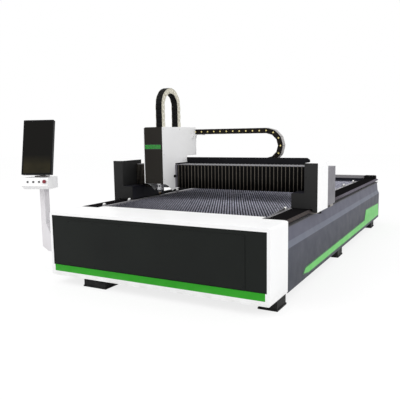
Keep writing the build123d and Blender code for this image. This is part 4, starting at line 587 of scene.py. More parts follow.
@dataclass(frozen=True)
class DotDisplay:
    """Green dot-matrix band: an even grid of lit dots on a dark ground."""

    name: str = "display_green"
    ground: str = "0b120b"
    lit: str = "26c63a"
    dot_pitch: float = 0.0060
    dot_share: float = 0.66
    lit_low: float = 1.2945
    lit_high: float = 1.3405
    rim: float = 0.0002

    def build(self) -> Material:
        """Make the material of the display.

        Returns:
            The material.
        """
        desk = ShaderDesk(self.name)
        columns = desk.band("X", self.dot_pitch, self.dot_share)
        rows = desk.band("Z", self.dot_pitch, self.dot_share)
        height = desk.axis("Z")
        above = desk.spread(height, self.lit_low, self.lit_low + self.rim)
        below = desk.spread(height, self.lit_high, self.lit_high - self.rim)
        dots = desk.times(desk.times(columns, rows), desk.times(above, below))
        glow = desk.spread(desk.noise(3.0, 1.0), 0.2, 0.8, 0.72, 0.9)
        desk.paint(desk.mixed(desk.times(dots, glow), self.ground, self.lit))
        desk.dull(desk.spread(desk.noise(18.0, 4.0), 0.4, 0.7, 0.22, 0.34))
        desk.bump(dots, 0.2, 0.0003)
        return desk.material


class Palette:
    """All finishes of the machine, each made once."""

    FINISHES = (
        PowderCoat("white_paint", "f8f8f8", "f4f4f5", "e2e2e2"),
        PowderCoat("white_lower", "f8f8f8", "f4f4f5", "cfcecb", dust_height=0.2),
        PowderCoat("panel_black", "1c1f1d", "191b1a", "2b2d2d", 0.4, 0.3, 0.1),
        PowderCoat("strip_black", "171617", "131213", "262526", 0.6, 0.3, 0.0),
        PowderCoat("plate_black", "2f2f2f", "2a2a2a", "3e3e3e", 0.46, 0.3, 0.1, 0.0, "202020"),
        PowderCoat("face_black", "272521", "221f1c", "34322e", 0.4, 0.25, 0.1),
        PowderCoat("tray_black", "19191d", "151518", "2a2a2e", 0.46, 0.3, 0.08),
        PowderCoat("rear_grey", "545563", "525361", "666773", 0.5, 0.25, 0.15, dust_height=0.2),
        PowderCoat("end_grey", "716f75", "6b6970", "86848a", 0.44, 0.25, 0.25),
        PowderCoat("frame_grey", "454447", "3d3c3f", "5f5d5e", 0.55, 0.35, 0.2, dust_height=0.3),
        PowderCoat("bar_grey", "949295", "8b898c", "7c7a7d", 0.46, 0.25),
        PowderCoat("strip_green", "2a9c1d", "269019", "5ab84e", 0.36, 0.15, 0.2, dust_height=0.2),
        # painted light: a paler, brighter copy of the front strip's green, as if the side catches
        # more light
        PowderCoat("stripe_green", "5ec857", "55bd4f", "86d283", 0.36, 0.15, 0.2, dust_height=0.2),
        PowderCoat("stripe_edge", "2f5c40", "294f37", "4a7857", 0.4, 0.15, 0.2),
        # painted sheen: the dark saddle paint is tinted blue-grey like a sheen
        PowderCoat("saddle_black", "24242c", "1b1b21", "34343d", 0.4, 0.3, 0.15),
        PowderCoat("column_white", "e4e2e5", "dbd8db", "c9c7c9", 0.44, 0.2),
        PowderCoat("foot_cream", "8d8984", "827e78", "6d6963", 0.45, 0.25),
        PowderCoat("foot_black", "1b1b1c", "151516", "403f3d", 0.6, 0.5, 0.12, dust_height=0.15),
        PowderCoat("motor_black", "131417", "0f1013", "292b2f", 0.42, 0.35, 0.2),
        PowderCoat("monitor_black", "0b0b0b", "080808", "1d1d1d", 0.34, 0.2, 0.1),
        WorkedSteel("ground_steel", "b9babd", "8b8781", Grain.ALONG_Y, 0.26, 0.18, 0.35),
        WorkedSteel("cross_steel", "b9babd", "8b8781", Grain.ALONG_X, 0.26, 0.18, 0.35),
        WorkedSteel("upright_steel", "b9babd", "8f8b86", Grain.ALONG_Z, 0.24, 0.18, 0.3),
        WorkedSteel("oiled_steel", "353437", "201e1e", Grain.ALONG_Y, 0.52, 0.4, 0.35, 0.7),
        WorkedSteel("machined_plate", "a6a7ab", "7e7c79", Grain.ALONG_Z, 0.38, 0.3, 0.4),
        WorkedSteel("zinc_screw", "c4c4c2", "8c8a84", Grain.EVEN, 0.32, 0.2, 0.4),
        WorkedSteel("black_screw", "2a2a2c", "191716", Grain.EVEN, 0.45, 0.2, 0.5),
        WorkedSteel("ramp_steel", "d2d2d4", "9a9896", Grain.ALONG_Y, 0.34, 0.25, 0.3),
        WorkedSteel("scale_steel", "2c2927", "453328", Grain.EVEN, 0.6, 0.5, 0.7, 0.6),
        WorkedSteel("head_silver", "d8d8da", "b2b2b4", Grain.ALONG_Z, 0.3, 0.2, 0.25, 0.85),
        WorkedSteel("head_dark", "3d3e42", "2a2a2c", Grain.ALONG_Z, 0.36, 0.2, 0.4, 0.8),
        WorkedSteel("nozzle_copper", "9d8a70", "6a5a48", Grain.ALONG_Z, 0.28, 0.2, 0.6),
        WorkedSteel("bracket_steel", "6f6a68", "4a4644", Grain.ALONG_X, 0.4, 0.25, 0.4, 0.8),
        MouldedPlastic("chain_black", "0a0a0a", "1a1918", 0.55, gloss=0.08),
        MouldedPlastic("chain_brown", "16120e", "272017", 0.55, gloss=0.1),
        MouldedPlastic("chain_grey", "a9a6a4", "838080", 0.5),
        MouldedPlastic("chain_cream", "cfcbbb", "b4af9d", 0.48),
        MouldedPlastic("pin_cream", "f4f1e2", "e4e0cc", 0.4),
        MouldedPlastic("pin_yellow", "ecdc92", "c4b164", 0.42),
        MouldedPlastic("cable_black", "0d0d0d", "202020", 0.42, 0.15, 0.15),
        MouldedPlastic("cable_grey", "3a3a3c", "2a2a2b", 0.45, 0.15, 0.15),
        MouldedPlastic("roller_white", "f2f2f0", "d8d8d4", 0.4, 0.15),
        MouldedPlastic("latch_black", "101010", "242424", 0.42, gloss=0.15),
        MouldedPlastic("button_dark", "343338", "504f53", 0.35, 0.15),
        MouldedPlastic("stop_red", "7d1f2c", "5c1520", 0.32, 0.15),
        MouldedPlastic("seal_black", "0e0e0e", "222222", 0.7, 0.3, 0.08),
        FoldedPanelPaint(),
        RailCoverPaint(),
        SlagSteel(),
        CoatedCloth(),
        ScreenGlass(),
        DotDisplay(),
    )

    def __init__(self) -> None:
        """Build every finish."""
        self.made = {finish.name: finish.build() for finish in self.FINISHES}

    def pick(self, *names: str) -> list[Material]:
        """Materials with these names, in order."""
        return [self.made[name] for name in names]

    def dress(self, **finishes: str) -> None:
        """Give CAD nodes their finishes.

        Args:
            finishes: Name of the finish for each node.
        """
        for node, finish in finishes.items():
            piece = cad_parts[node]
            if not piece.material_slots:
                piece.data.materials.append(None)
            for material_slot in piece.material_slots:
                material_slot.material = self.made[finish]


def along_y(u: float, v: float, w: float) -> Corner:
    """Corner of an outline in X and Z at depth w along Y."""
    return (u, w, v)


def along_x(u: float, v: float, w: float) -> Corner:
    """Corner of an outline in Y and Z at depth w along X."""
    return (w, u, v)


def along_z(u: float, v: float, w: float) -> Corner:
    """Corner of an outline in X and Y at depth w along Z."""
    return (u, v, w)


def oblong(width: float, height: float, corner: float, parts: int = 4) -> list[Flat]:
    """Outline of a rectangle with rounded corners round the origin.

    Args:
        width: Size across.
        height: Size up.
        corner: Corner radius.
        parts: Straight pieces in each corner.

    Returns:
        Points of the outline, anticlockwise.
    """
    points = []
    corners = ((1, 1, 0), (-1, 1, 90), (-1, -1, 180), (1, -1, 270))
    for sx, sy, start in corners:
        for i in range(parts + 1):
            turn = math.radians(start + 90 * i / parts)
            x = sx * (width / 2 - corner) + corner * math.cos(turn)
            y = sy * (height / 2 - corner) + corner * math.sin(turn)
            points.append((x, y))
    return points


class Draft:
    """Corners and faces of one piece, each face with the number of its finish."""

    SCREW_HEIGHT = 0.9
    SCREW_SIDES = 12
    SCREW_LINE = ((1.0, 0.0), (1.0, 0.85), (0.9, 1.0), (0.52, 1.0), (0.5, 0.35))

    def __init__(self) -> None:
        """Start with an empty piece."""
        self.corners: list[Corner] = []
        self.faces: list[tuple[int, ...]] = []
        self.slots: list[int] = []
        self.marks: dict[str, list[float]] = {}

    def add(self, corners: Sequence[Corner], faces: Sequence[Sequence[int]], slot: int) -> None:
        """Add corners with the faces between them.

        Args:
            corners: New corners.
            faces: Faces, counted from the first new corner.
            slot: Number of the finish.
        """
        base = len(self.corners)
        self.corners.extend(corners)
        self.faces.extend(tuple(base + i for i in face) for face in faces)
        self.slots.extend([slot] * len(faces))

    def hoop(self, corners: Sequence[Corner], sides: int, slot: int) -> None:
        """Add a closed solid from rings of corners, one after the other.

        Args:
            corners: Corners of all rings, ring by ring.
            sides: Corners in each ring.
            slot: Number of the finish.
        """
        last = len(corners) - sides
        faces = []
        for start in range(0, last, sides):
            for i in range(sides):
                a = start + i
                b = start + (i + 1) % sides
                faces.append((a, b, b + sides, a + sides))
        faces.append(tuple(range(sides))[::-1])
        faces.append(tuple(range(last, last + sides)))
        self.add(corners, faces, slot)

    def prism(
        self, points: Sequence[Flat], low: float, high: float, place: Placer, slot: int = 0
    ) -> None:
        """Add a solid with a flat outline.

        Args:
            points: Outline in the place's own plane.
            low: Depth of one face.
            high: Depth of the other face.
            place: Turns an outline point and a depth into a corner.
            slot: Number of the finish.
        """
        count = len(points)
        corners = [place(u, v, low) for u, v in points] + [place(u, v, high) for u, v in points]
        faces = [tuple(range(count))[::-1], tuple(range(count, 2 * count))]
        faces += [(i, (i + 1) % count, count + (i + 1) % count, count + i) for i in range(count)]
        self.add(corners, faces, slot)

    def slab(self, low: Corner, high: Corner, slot: int) -> None:
        """Add a rectangular solid between its lowest and its highest corner."""
        points = [(low[0], low[1]), (high[0], low[1]), (high[0], high[1]), (low[0], high[1])]
        self.prism(points, low[2], high[2], along_z, slot)

    def turned(
        self, profile: Sequence[Flat], origin: Corner, axis: Corner, sides: int, slot: int = 0
    ) -> None:
        """Add a turned solid from radius and height pairs.

        Args:
            profile: Radius and height along the axis, from one end to the other.
            origin: Point of the axis at height zero.
            axis: Direction of the axis.
            sides: Number of flats round the axis.
            slot: Number of the finish.
        """
        turn = Vector(axis).to_track_quat("Z", "Y").to_matrix()
        start = Vector(origin)
        corners = []
        for radius, height in profile:
            for i in range(sides):
                angle = 2 * math.pi * (i + 0.5) / sides
                local = Vector((radius * math.cos(angle), radius * math.sin(angle), height))
                corners.append(tuple(start + turn @ local))
        self.hoop(corners, sides, slot)

    def tube(self, path: Sequence[Corner], radius: float, sides: int, slot: int) -> None:
        """Add a round cable that follows a path of points.

        Args:
            path: Points of the centre line.
            radius: Radius of the cable.
            sides: Number of flats round it.
            slot: Number of the finish.
        """
        points = [Vector(p) for p in path]
        corners = []
        for i, point in enumerate(points):
            ahead = points[min(i + 1, len(points) - 1)] - points[max(i - 1, 0)]
            turn = ahead.to_track_quat("Z", "Y").to_matrix()
            for k in range(sides):
                angle = 2 * math.pi * k / sides
                rim = Vector((radius * math.cos(angle), radius * math.sin(angle), 0))
                corners.append(tuple(point + turn @ rim))
        self.hoop(corners, sides, slot)

    def screw(self, origin: Corner, axis: Corner, radius: float, slot: int = 0) -> None:
        """Add a socket-head screw.

        Args:
            origin: Centre of the seat.
            axis: Direction out of the surface.
            radius: Radius of the head.
            slot: Number of the finish.
        """
        height = radius * self.SCREW_HEIGHT
        profile = [(radius * u, height * v) for u, v in self.SCREW_LINE]
        self.turned(profile, origin, axis, self.SCREW_SIDES, slot)

    def mark(self, name: str, values: list[float]) -> None:
        """Give every corner of the draft a named value, in order."""
        self.marks[name] = values

    def piece(self, name: str, finishes: Sequence[Material], sharp: float = 32.0) -> Piece:
        """Turn the draft into an object.

        Args:
            name: Name of the piece.
            finishes: Material of each finish number.
            sharp: Edges that turn more than this many degrees stay sharp.

        Returns:
            The new object, in the frame of the part.
        """
        mesh = bpy.data.meshes.new(name)
        mesh.from_pydata(self.corners, [], self.faces)
        mesh.validate(verbose=False)
        for material in finishes:
            mesh.materials.append(material)
        mesh.polygons.foreach_set("material_index", self.slots)
        for title, values in self.marks.items():
            attribute = mesh.attributes.new(title, "FLOAT", "POINT")
            attribute.data.foreach_set("value", values)
        mesh.shade_smooth()
        mesh.set_sharp_from_angle(angle=math.radians(sharp))
        mesh.update()
        made = bpy.data.objects.new(name, mesh)
        bpy.context.scene.collection.objects.link(made)
        return made


def mirrored(values: Sequence[float]) -> list[float]:
    """The values and their negatives."""
    return [side * value for value in values for side in (1, -1)]


def steps(first: float, last: float, count: int) -> list[float]:
    """Evenly spaced values from first to last."""
    return [first + (last - first) * i / (count - 1) for i in range(count)]


def shifted(points: Sequence[Flat], across: float, up: float) -> list[Flat]:
    """The points moved across and up."""
    return [(u + across, v + up) for u, v in points]


def arc(centre: Flat, radius: float, first: float, last: float, count: int) -> list[Flat]:
    """Points of an arc round a centre, from the first to the last angle in degrees."""
    turns = [math.radians(angle) for angle in steps(first, last, count)]
    return [(centre[0] + radius * math.cos(t), centre[1] + radius * math.sin(t)) for t in turns]


@dataclass
class BedHousing:
    """White front housing with its dark front, access cover, green strip and feet."""

    palette: Palette
    screw_radius: float = 0.0045
    screw_sink: float = 0.0014
    screw_inset: float = 0.018
    screws_across: int = 7

    def cover_screws(self) -> Piece:
        """Make the countersunk screws round the access cover.

        Returns:
            The screws as one piece.
        """
        low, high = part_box("front_access_cover")
        inset = self.screw_inset
        heights = (low.z + inset, high.z - inset)
        sides = (low.x + inset, high.x - inset)
        spots = [(x, z) for z in heights for x in steps(*sides, self.screws_across)]
        spots += [(x, (low.z + high.z) / 2) for x in sides]
        draft = Draft()
        for x, z in spots:
            draft.screw((x, low.y + self.screw_sink, z), (0, -1, 0), self.screw_radius)
        piece = draft.piece("access_cover_screws", self.palette.pick("black_screw"))
        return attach(piece, "bed")

    def build(self) -> list[Piece]:
        """Dress the bed's front and frame, and screw on the access cover.

        Returns:
            The new pieces.
        """
        self.palette.dress(
            front_housing="white_lower",
            front_panel="panel_black",
            front_access_cover="panel_black",
            front_green_strip="strip_green",
            machine_feet="foot_black",
            bed_beams="frame_grey",
            bed_cross_tubes="frame_grey",
            slag_plates="scale_steel",
        )
        return [self.cover_screws()]


@dataclass
class SidePanels:
    """Long grey side panels with their green stripes."""

    palette: Palette
    border: float = 0.011
    border_depth: float = 0.001
    proud: float = 0.0003
    outline: tuple[Flat, ...] = (
        (0.833, 0.145),
        (0.918, 0.201),
        (3.700, 0.214),
        (3.786, 0.353),
        (4.777, 0.326),
        (4.844, 0.117),
        (1.010, 0.117),
    )

    def inner_line(self, outer: Sequence[Flat]) -> list[Flat]:
        """Move the stripe's outline inwards by the border.

        Args:
            outer: Outline of the stripe in Y and Z.

        Returns:
            The moved outline.
        """
        points = [Vector(point) for point in outer]
        moved = []
        for i, point in enumerate(points):
            before = (point - points[i - 1]).normalized()
            after = (points[(i + 1) % len(points)] - point).normalized()
            normals = [Vector((side.y, -side.x)) for side in (before, after)]
            mitre = (normals[0] + normals[1]).normalized()
            spot = point + mitre * (self.border / max(mitre.dot(normals[0]), 0.4))
            moved.append((spot.x, spot.y))
        return moved

    def stripe_edges(self) -> Piece:
        """Make the dark green line round each stripe.

        Returns:
            Both lines as one piece.
        """
        outer = [(station(d), z) for d, z in self.outline]
        inner = self.inner_line(outer)
        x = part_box("side_stripes")[1].x
        draft = Draft()
        for side in (1, -1):
            for i in range(len(outer)):
                j = (i + 1) % len(outer)
                quad = [outer[i], outer[j], inner[j], inner[i]]
                draft.prism(quad, side * (x - self.border_depth), side * (x + self.proud), along_x)
        piece = draft.piece("stripe_edges", self.palette.pick("stripe_edge"))
        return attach(piece, "bed")

    def build(self) -> list[Piece]:
        """Dress the panels and add the stripe borders."""
        self.palette.dress(side_panels="side_grey", side_stripes="stripe_green")
        return [self.stripe_edges()]


@dataclass
class SlatTable:
    """Saw-toothed slats, edge rails, loading rollers and guide strip."""

    palette: Palette
    tooth_pitch: float = 0.0283
    tooth_depth: float = 0.024
    tip_from: float = 0.46
    tip_to: float = 0.54
    thickness: float = 0.003
    first: float = 0.560
    spacing: float = 0.060
    count: int = 61
    roller_radius: float = 0.015
    roller_width: float = 0.022
    roller_stations: tuple[float, ...] = (1.0, 2.045, 3.4, 4.0)
    front_roller: float = 0.56
    cheek: float = 0.005
    fork_foot: float = 0.022
    fork_head: float = 0.009
    fork_base: float = 0.003
    running_gap: float = 0.0006
    wheel_bore: float = 0.006
    wheel_edge: float = 0.002
    wheel_bevel: float = 0.003
    pin_radius: float = 0.003
    pin_proud: float = 0.001
    rail_screw_inset: float = 0.028
    rail_screw_seat: float = 0.712
    rail_screw_radius: float = 0.004
    rail_screw_end: float = 0.06
    rail_screws_along: int = 16

    def slat_line(self, half: float, low: float, high: float) -> list[Flat]:
        """Outline of one slat.

        Args:
            half: Half of the slat's length.
            low: Height of its lower edge.
            high: Height of its tips.

        Returns:
            Points in X and Z.
        """
        teeth = round(2 * half / self.tooth_pitch)
        pitch = 2 * half / teeth
        root = high - self.tooth_depth
        points = [(-half, low), (half, low)]
        for i in range(teeth):
            right = half - i * pitch
            tips = (right - pitch * self.tip_from, right - pitch * self.tip_to)
            points += [(right, root), (tips[0], high), (tips[1], high)]
        points.append((-half, root))
        return points

    def slats(self) -> Piece:
        """Make all slats of the table.

        Returns:
            The slats as one piece.
        """
        low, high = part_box("table_slats")
        line = self.slat_line(high.x, low.z, high.z)
        draft = Draft()
        for i in range(self.count):
            y = station(self.first + i * self.spacing)
            draft.prism(line, y - self.thickness / 2, y + self.thickness / 2, along_y)
        piece = draft.piece("support_slats", self.palette.pick("slat_steel"))
        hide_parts("table_slats")
        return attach(piece, "bed")

    def wheel_line(self, half: float) -> list[Flat]:
        """Profile of a roller: radius and place along its pin.

        Args:
            half: Half of the roller's width.

        Returns:
            Points from one end to the other.
        """
        radius = self.roller_radius
        rising = [
            (self.wheel_bore, -half + self.running_gap),
            (radius - self.wheel_edge, -half + self.running_gap),
            (radius, -half + self.wheel_bevel),
        ]
        return rising + [(r, -along) for r, along in reversed(rising)]

    def roller(self, draft: Draft, x: float, y: float, base: float, axle: float) -> None:
        """Add one roller in its fork.

        Args:
            draft: Piece that it becomes part of.
            x: Middle of the roller across the bed.
            y: Place of its pin along the bed.
            base: Height of the fork's foot.
            axle: Height of the pin.
        """
        half = self.roller_width / 2
        foot, head, top = self.fork_foot, self.fork_head, axle + self.cheek
        fork = [(y - foot, base), (y + foot, base), (y + head, top), (y - head, top)]
        for face in (x - half - self.cheek, x + half):
            draft.prism(fork, face, face + self.cheek, along_x, 1)
        draft.slab((x - half, y - foot, base), (x + half, y + foot, base + self.fork_base), 1)
        draft.turned(self.wheel_line(half), (x, y, axle), (1, 0, 0), 24, 0)
        reach = half + self.cheek + self.pin_proud
        pin = ((self.pin_radius, -reach), (self.pin_radius, reach))
        draft.turned(pin, (x, y, axle), (1, 0, 0), 10, 2)

    def rollers(self) -> Piece:
        """Make the loading rollers on both edges of the table.

        Returns:
            The rollers as one piece.
        """
        low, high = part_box("table_rollers")
        x = high.x - self.roller_width / 2 - self.cheek
        places = [(side, d) for side in (1, -1) for d in self.roller_stations]
        places.append((-1, self.front_roller))
        draft = Draft()
        for side, distance in places:
            self.roller(draft, side * x, station(distance), low.z, high.z - self.roller_radius)
        finishes = self.palette.pick("roller_white", "bar_grey", "zinc_screw")
        piece = draft.piece("loading_rollers", finishes)
        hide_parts("table_rollers")
        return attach(piece, "bed")

    def rail_screws(self) -> Piece:
        """Make the screws along both edge rails.

        Returns:
            The screws as one piece.
        """
        low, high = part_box("table_rails")
        draft = Draft()
        for x in mirrored([high.x - self.rail_screw_inset]):
            ends = (low.y + self.rail_screw_end, high.y - self.rail_screw_end)
            for y in steps(*ends, self.rail_screws_along):
                seat = (x, y, self.rail_screw_seat)
                draft.screw(seat, (0, 0, 1), self.rail_screw_radius)
        piece = draft.piece("table_rail_screws", self.palette.pick("zinc_screw"))
        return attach(piece, "bed")

    def build(self) -> list[Piece]:
        """Dress the table and make its fine pieces."""
        self.palette.dress(table_rails="bar_grey", guide_ramp="ramp_steel")
        return [self.slats(), self.rollers(), self.rail_screws()]


@dataclass
class RailGuides:
    """Rail covers, guide rails and toothed racks along the bed."""

    palette: Palette
    module: float = 0.002
    tooth: float = 0.0044
    tooth_line: tuple[float, float, float] = (0.18, 0.42, 0.76)
    rack_depth: float = 0.024
    rack_base: float = 0.655
    rail_x: float = 1.030
    rail_half: float = 0.0115
    rail_base: float = 0.630
    rail_height: float = 0.018
    rail_waist: float = 0.003
    rail_edge: float = 0.001
    bolt_pitch: float = 0.060
    bolt_inset: float = 0.030
    bolt_cup: tuple[Flat, ...] = ((0.0055, 0.0), (0.0055, 0.0002), (0.004, 0.0002))
    pinion_teeth: int = 30
    pinion_line: tuple[float, float, float] = (0.2, 0.4, 0.7)
    pinion_width: float = 0.015
    hub_radius: float = 0.014
    hub_height: float = 0.003
    shaft_radius: float = 0.008
    cover_screw_x: float = 0.972
    cover_screw_start: float = 0.08
    cover_screw_end: float = station(4.56)
    cover_screws_along: int = 10
    cover_screw_radius: float = 0.0042
    block_screw_xs: tuple[float, float] = (0.985, 1.085)
    block_screw_y: float = station(4.70)
    block_screw_radius: float = 0.006
    screw_sink: float = 0.0002

    def rail(self, draft: Draft, side: int, y0: float, y1: float) -> None:
        """Add a profiled rail with a bolt in every counterbore.

        Args:
            draft: Piece that it becomes part of.
            side: One for the right side, minus one for the left.
            y0: Front end of the rail.
            y1: Rear end of the rail.
        """
        half, edge, third = self.rail_half, self.rail_edge, self.rail_height / 3
        z0 = self.rail_base
        z1 = z0 + self.rail_height
        right = [
            (half, z0),
            (half, z0 + third),
            (half - self.rail_waist, z0 + self.rail_height / 2),
            (half, z1 - third),
            (half, z1 - edge),
            (half - edge, z1),
        ]
        profile = right + [(-u, v) for u, v in reversed(right)]
        line = [(side * (self.rail_x + u), v) for u, v in profile]
        draft.prism(line, y0, y1, along_y, 0)
        count = int((y1 - y0) / self.bolt_pitch)
        for y in steps(y0 + self.bolt_inset, y1 - self.bolt_inset, count):
            draft.turned(self.bolt_cup, (side * self.rail_x, y, z1), (0, 0, 1), 10, 1)

    def rack(self, draft: Draft, side: int, low: Vector, high: Vector) -> None:
        """Add a rack bar with straight teeth on its outer face.

        Args:
            draft: Piece that it becomes part of.
            side: One for the right side, minus one for the left.
            low: Lowest corner of the guides.
            high: Highest corner of the guides.
        """
        length = high.y - low.y
        teeth = int(length / (math.pi * self.module))
        pitch = length / teeth
        tip = high.x
        root = tip - self.tooth
        back = tip - self.rack_depth
        line = []
        for i in range(teeth):
            y = low.y + i * pitch
            foot, rise, crown = (y + pitch * share for share in self.tooth_line)
            line += [(y, root), (foot, root), (rise, tip), (crown, tip)]
        line.append((high.y, root))
        z0, z1 = self.rack_base, high.z
        corners: list[Corner] = []
        for y, x in line:
            corners += [(side * u, y, z) for u, z in ((back, z0), (x, z0), (x, z1), (back, z1))]
        draft.hoop(corners, 4, 0)

    def guides(self) -> Piece:
        """Make the rails and racks on both sides of the bed.

        Returns:
            Rails and racks as one piece.
        """
        low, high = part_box("y_guides")
        draft = Draft()
        for side in (1, -1):
            self.rail(draft, side, low.y, high.y)
            self.rack(draft, side, low, high)
        finishes = self.palette.pick("oiled_steel", "black_screw")
        piece = draft.piece("bed_rails_and_racks", finishes, sharp=20.0)
        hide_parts("y_guides")
        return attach(piece, "bed")

    def pinion(self, name: str, node: str, body: str) -> Piece:
        """Make the toothed pinion and shaft of one gantry drive.

        Args:
            name: Name of the piece.
            node: CAD node that it replaces.
            body: Body that it rides on.

        Returns:
            The pinion.
        """
        low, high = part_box(node)
        radius = (high.x - low.x) / 2
        x, y = (low.x + high.x) / 2, (low.y + high.y) / 2
        foot, rise, crown = self.pinion_line
        line = []
        for i in range(self.pinion_teeth):
            for share, depth in ((0.0, self.tooth), (foot, self.tooth), (rise, 0.0), (crown, 0.0)):
                angle = 2 * math.pi * (i + share) / self.pinion_teeth
                reach = radius - depth
                line.append((x + reach * math.cos(angle), y + reach * math.sin(angle)))
        draft = Draft()
        draft.prism(line, low.z, low.z + self.pinion_width, along_z)
        shaft = (
            (self.hub_radius, 0.0),
            (self.hub_radius, self.hub_height),
            (self.shaft_radius, self.hub_height),
            (self.shaft_radius, high.z - low.z - self.pinion_width),
        )
        draft.turned(shaft, (x, y, low.z + self.pinion_width), (0, 0, 1), 20)
        piece = draft.piece(name, self.palette.pick("oiled_steel"), sharp=20.0)
        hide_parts(node)
        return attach(piece, body)

    def cover_screws(self) -> Piece:
        """Make the screws that hold the rail covers and the end blocks.

        Returns:
            The screws as one piece.
        """
        low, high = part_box("rail_covers")
        block_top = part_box("rail_end_blocks")[1].z
        draft = Draft()
        for x in mirrored([self.cover_screw_x]):
            start = low.y + self.cover_screw_start
            for y in steps(start, self.cover_screw_end, self.cover_screws_along):
                seat = (x, y, high.z - self.screw_sink)
                draft.screw(seat, (0, 0, 1), self.cover_screw_radius)
        for x in mirrored(self.block_screw_xs):
            seat = (x, self.block_screw_y, block_top - self.screw_sink)
            draft.screw(seat, (0, 0, 1), self.block_screw_radius)
        piece = draft.piece("rail_cover_screws", self.palette.pick("black_screw"))
        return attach(piece, "bed")

    def build(self) -> list[Piece]:
        """Dress the covers and the bed's rear end, and make the guides.

        Returns:
            The new pieces.
        """
        self.palette.dress(
            rail_covers="cover_black",
            rail_end_blocks="seal_black",
            rear_panel="rear_grey",
            rear_crossbar="bar_grey",
        )
        return [
            self.guides(),
            self.cover_screws(),
            self.pinion("pinion_right", "y_pinion_right", "y_drive_right"),
            self.pinion("pinion_left", "y_pinion_left", "y_drive_left"),
        ]


@dataclass
class GantryEnds:
    """Saddles, end covers, motors and beam of the gantry."""

    palette: Palette
    motor_size: float = 0.066
    motor_corner: float = 0.009
    flange_size: float = 0.076
    flange_corner: float = 0.006
    flange_height: float = 0.010
    cap_height: float = 0.038
    cap_groove: float = 0.004
    groove_depth: float = 0.0015
    motor_bolt: float = 0.031
    motor_bolt_radius: float = 0.004
    front_insets: tuple[float, float] = (0.016, 0.112)
    front_heights: tuple[float, float] = (0.895, 1.02)
    front_top_inset: float = 0.02
    foot_screw_xs: tuple[float, float] = (0.965, 1.14)
    foot_screw_z: float = 0.74
    side_row_inset: float = 0.04
    side_row: tuple[float, ...] = (0.06, 0.5, 0.94)
    rear_row_inset: float = 0.03
    rear_row: tuple[float, ...] = (0.1, 0.9)
    screw_radius: float = 0.0038
    front_sink: float = 0.0002
    side_sink: float = 0.0033

    def motor(self, draft: Draft, x: float, y: float, z0: float, z1: float) -> None:
        """Add a servo motor with its flange, cap and bolts.

        Args:
            draft: Piece that it becomes part of.
            x: Middle of the motor across the bed.
            y: Middle of the motor along the bed.
            z0: Underside of the flange.
            z1: Top of the cap.
        """
        body_low = z0 + self.flange_height
        cap_low = z1 - self.cap_height
        groove_low = cap_low - self.cap_groove
        size, corner = self.motor_size, self.motor_corner
        for width, corner, low, high, slot in (
            (self.flange_size, self.flange_corner, z0, body_low, 0),
            (size, corner, body_low, groove_low, 0),
            (size - 2 * self.groove_depth, corner, groove_low, cap_low, 1),
            (size, corner, cap_low, z1, 1),
        ):
            draft.prism(shifted(oblong(width, width, corner), x, y), low, high, along_z, slot)
        for u in mirrored([self.motor_bolt]):
            for v in mirrored([self.motor_bolt]):
                draft.screw((x + u, y + v, body_low), (0, 0, 1), self.motor_bolt_radius, 2)

    def motors(self) -> Piece:
        """Make both gantry motors.

        Returns:
            The motors as one piece.
        """
        low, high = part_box("y_motors")
        draft = Draft()
        for x in mirrored([high.x - self.flange_size / 2]):
            self.motor(draft, x, (low.y + high.y) / 2, low.z, high.z)
        finishes = self.palette.pick("motor_black", "latch_black", "black_screw")
        piece = draft.piece("gantry_motors", finishes)
        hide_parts("y_motors")
        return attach(piece, "gantry")

    def flank_screws(self, draft: Draft, node: str, inset: float, shares: Sequence[float]) -> None:
        """Add two rows of screws on the outer face of a pair of covers.

        Args:
            draft: Piece that they become part of.
            node: CAD node of the covers.
            inset: Distance of the rows from the top and the bottom.
            shares: Places along each row, from 0 at the front to 1 at the back.
        """
        low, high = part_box(node)
        for x, way in ((high.x - self.side_sink, 1), (low.x + self.side_sink, -1)):
            for z in (low.z + inset, high.z - inset):
                for share in shares:
                    y = low.y + share * (high.y - low.y)
                    draft.screw((x, y, z), (way, 0, 0), self.screw_radius, 1)

    def cover_screws(self) -> Piece:
        """Make the screws of the end covers.

        Returns:
            The screws as one piece.
        """
        low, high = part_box("end_front_covers")
        columns = mirrored([high.x - inset for inset in self.front_insets])
        heights = (*self.front_heights, high.z - self.front_top_inset)
        spots = [(x, z) for x in columns for z in heights]
        spots += [(x, self.foot_screw_z) for x in mirrored(self.foot_screw_xs)]
        draft = Draft()
        for x, z in spots:
            draft.screw((x, low.y + self.front_sink, z), (0, -1, 0), self.screw_radius)
        self.flank_screws(draft, "end_side_covers", self.side_row_inset, self.side_row)
        self.flank_screws(draft, "end_rear_covers", self.rear_row_inset, self.rear_row)
        finishes = self.palette.pick("black_screw", "zinc_screw")
        piece = draft.piece("gantry_cover_screws", finishes)
        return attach(piece, "gantry")

    def build(self) -> list[Piece]:
        """Dress the gantry and make its fine pieces.

        Returns:
            The new pieces.
        """
        self.palette.dress(
            gantry_beam="plate_black",
            saddles="saddle_black",
            saddle_feet="foot_cream",
            y_sliders="ground_steel",
            end_front_covers="plate_black",
            end_side_covers="white_paint",
            end_rear_covers="end_grey",
            x_guides="cross_steel",
            cable_tray="tray_black",
        )
        return [self.motors(), self.cover_screws()]


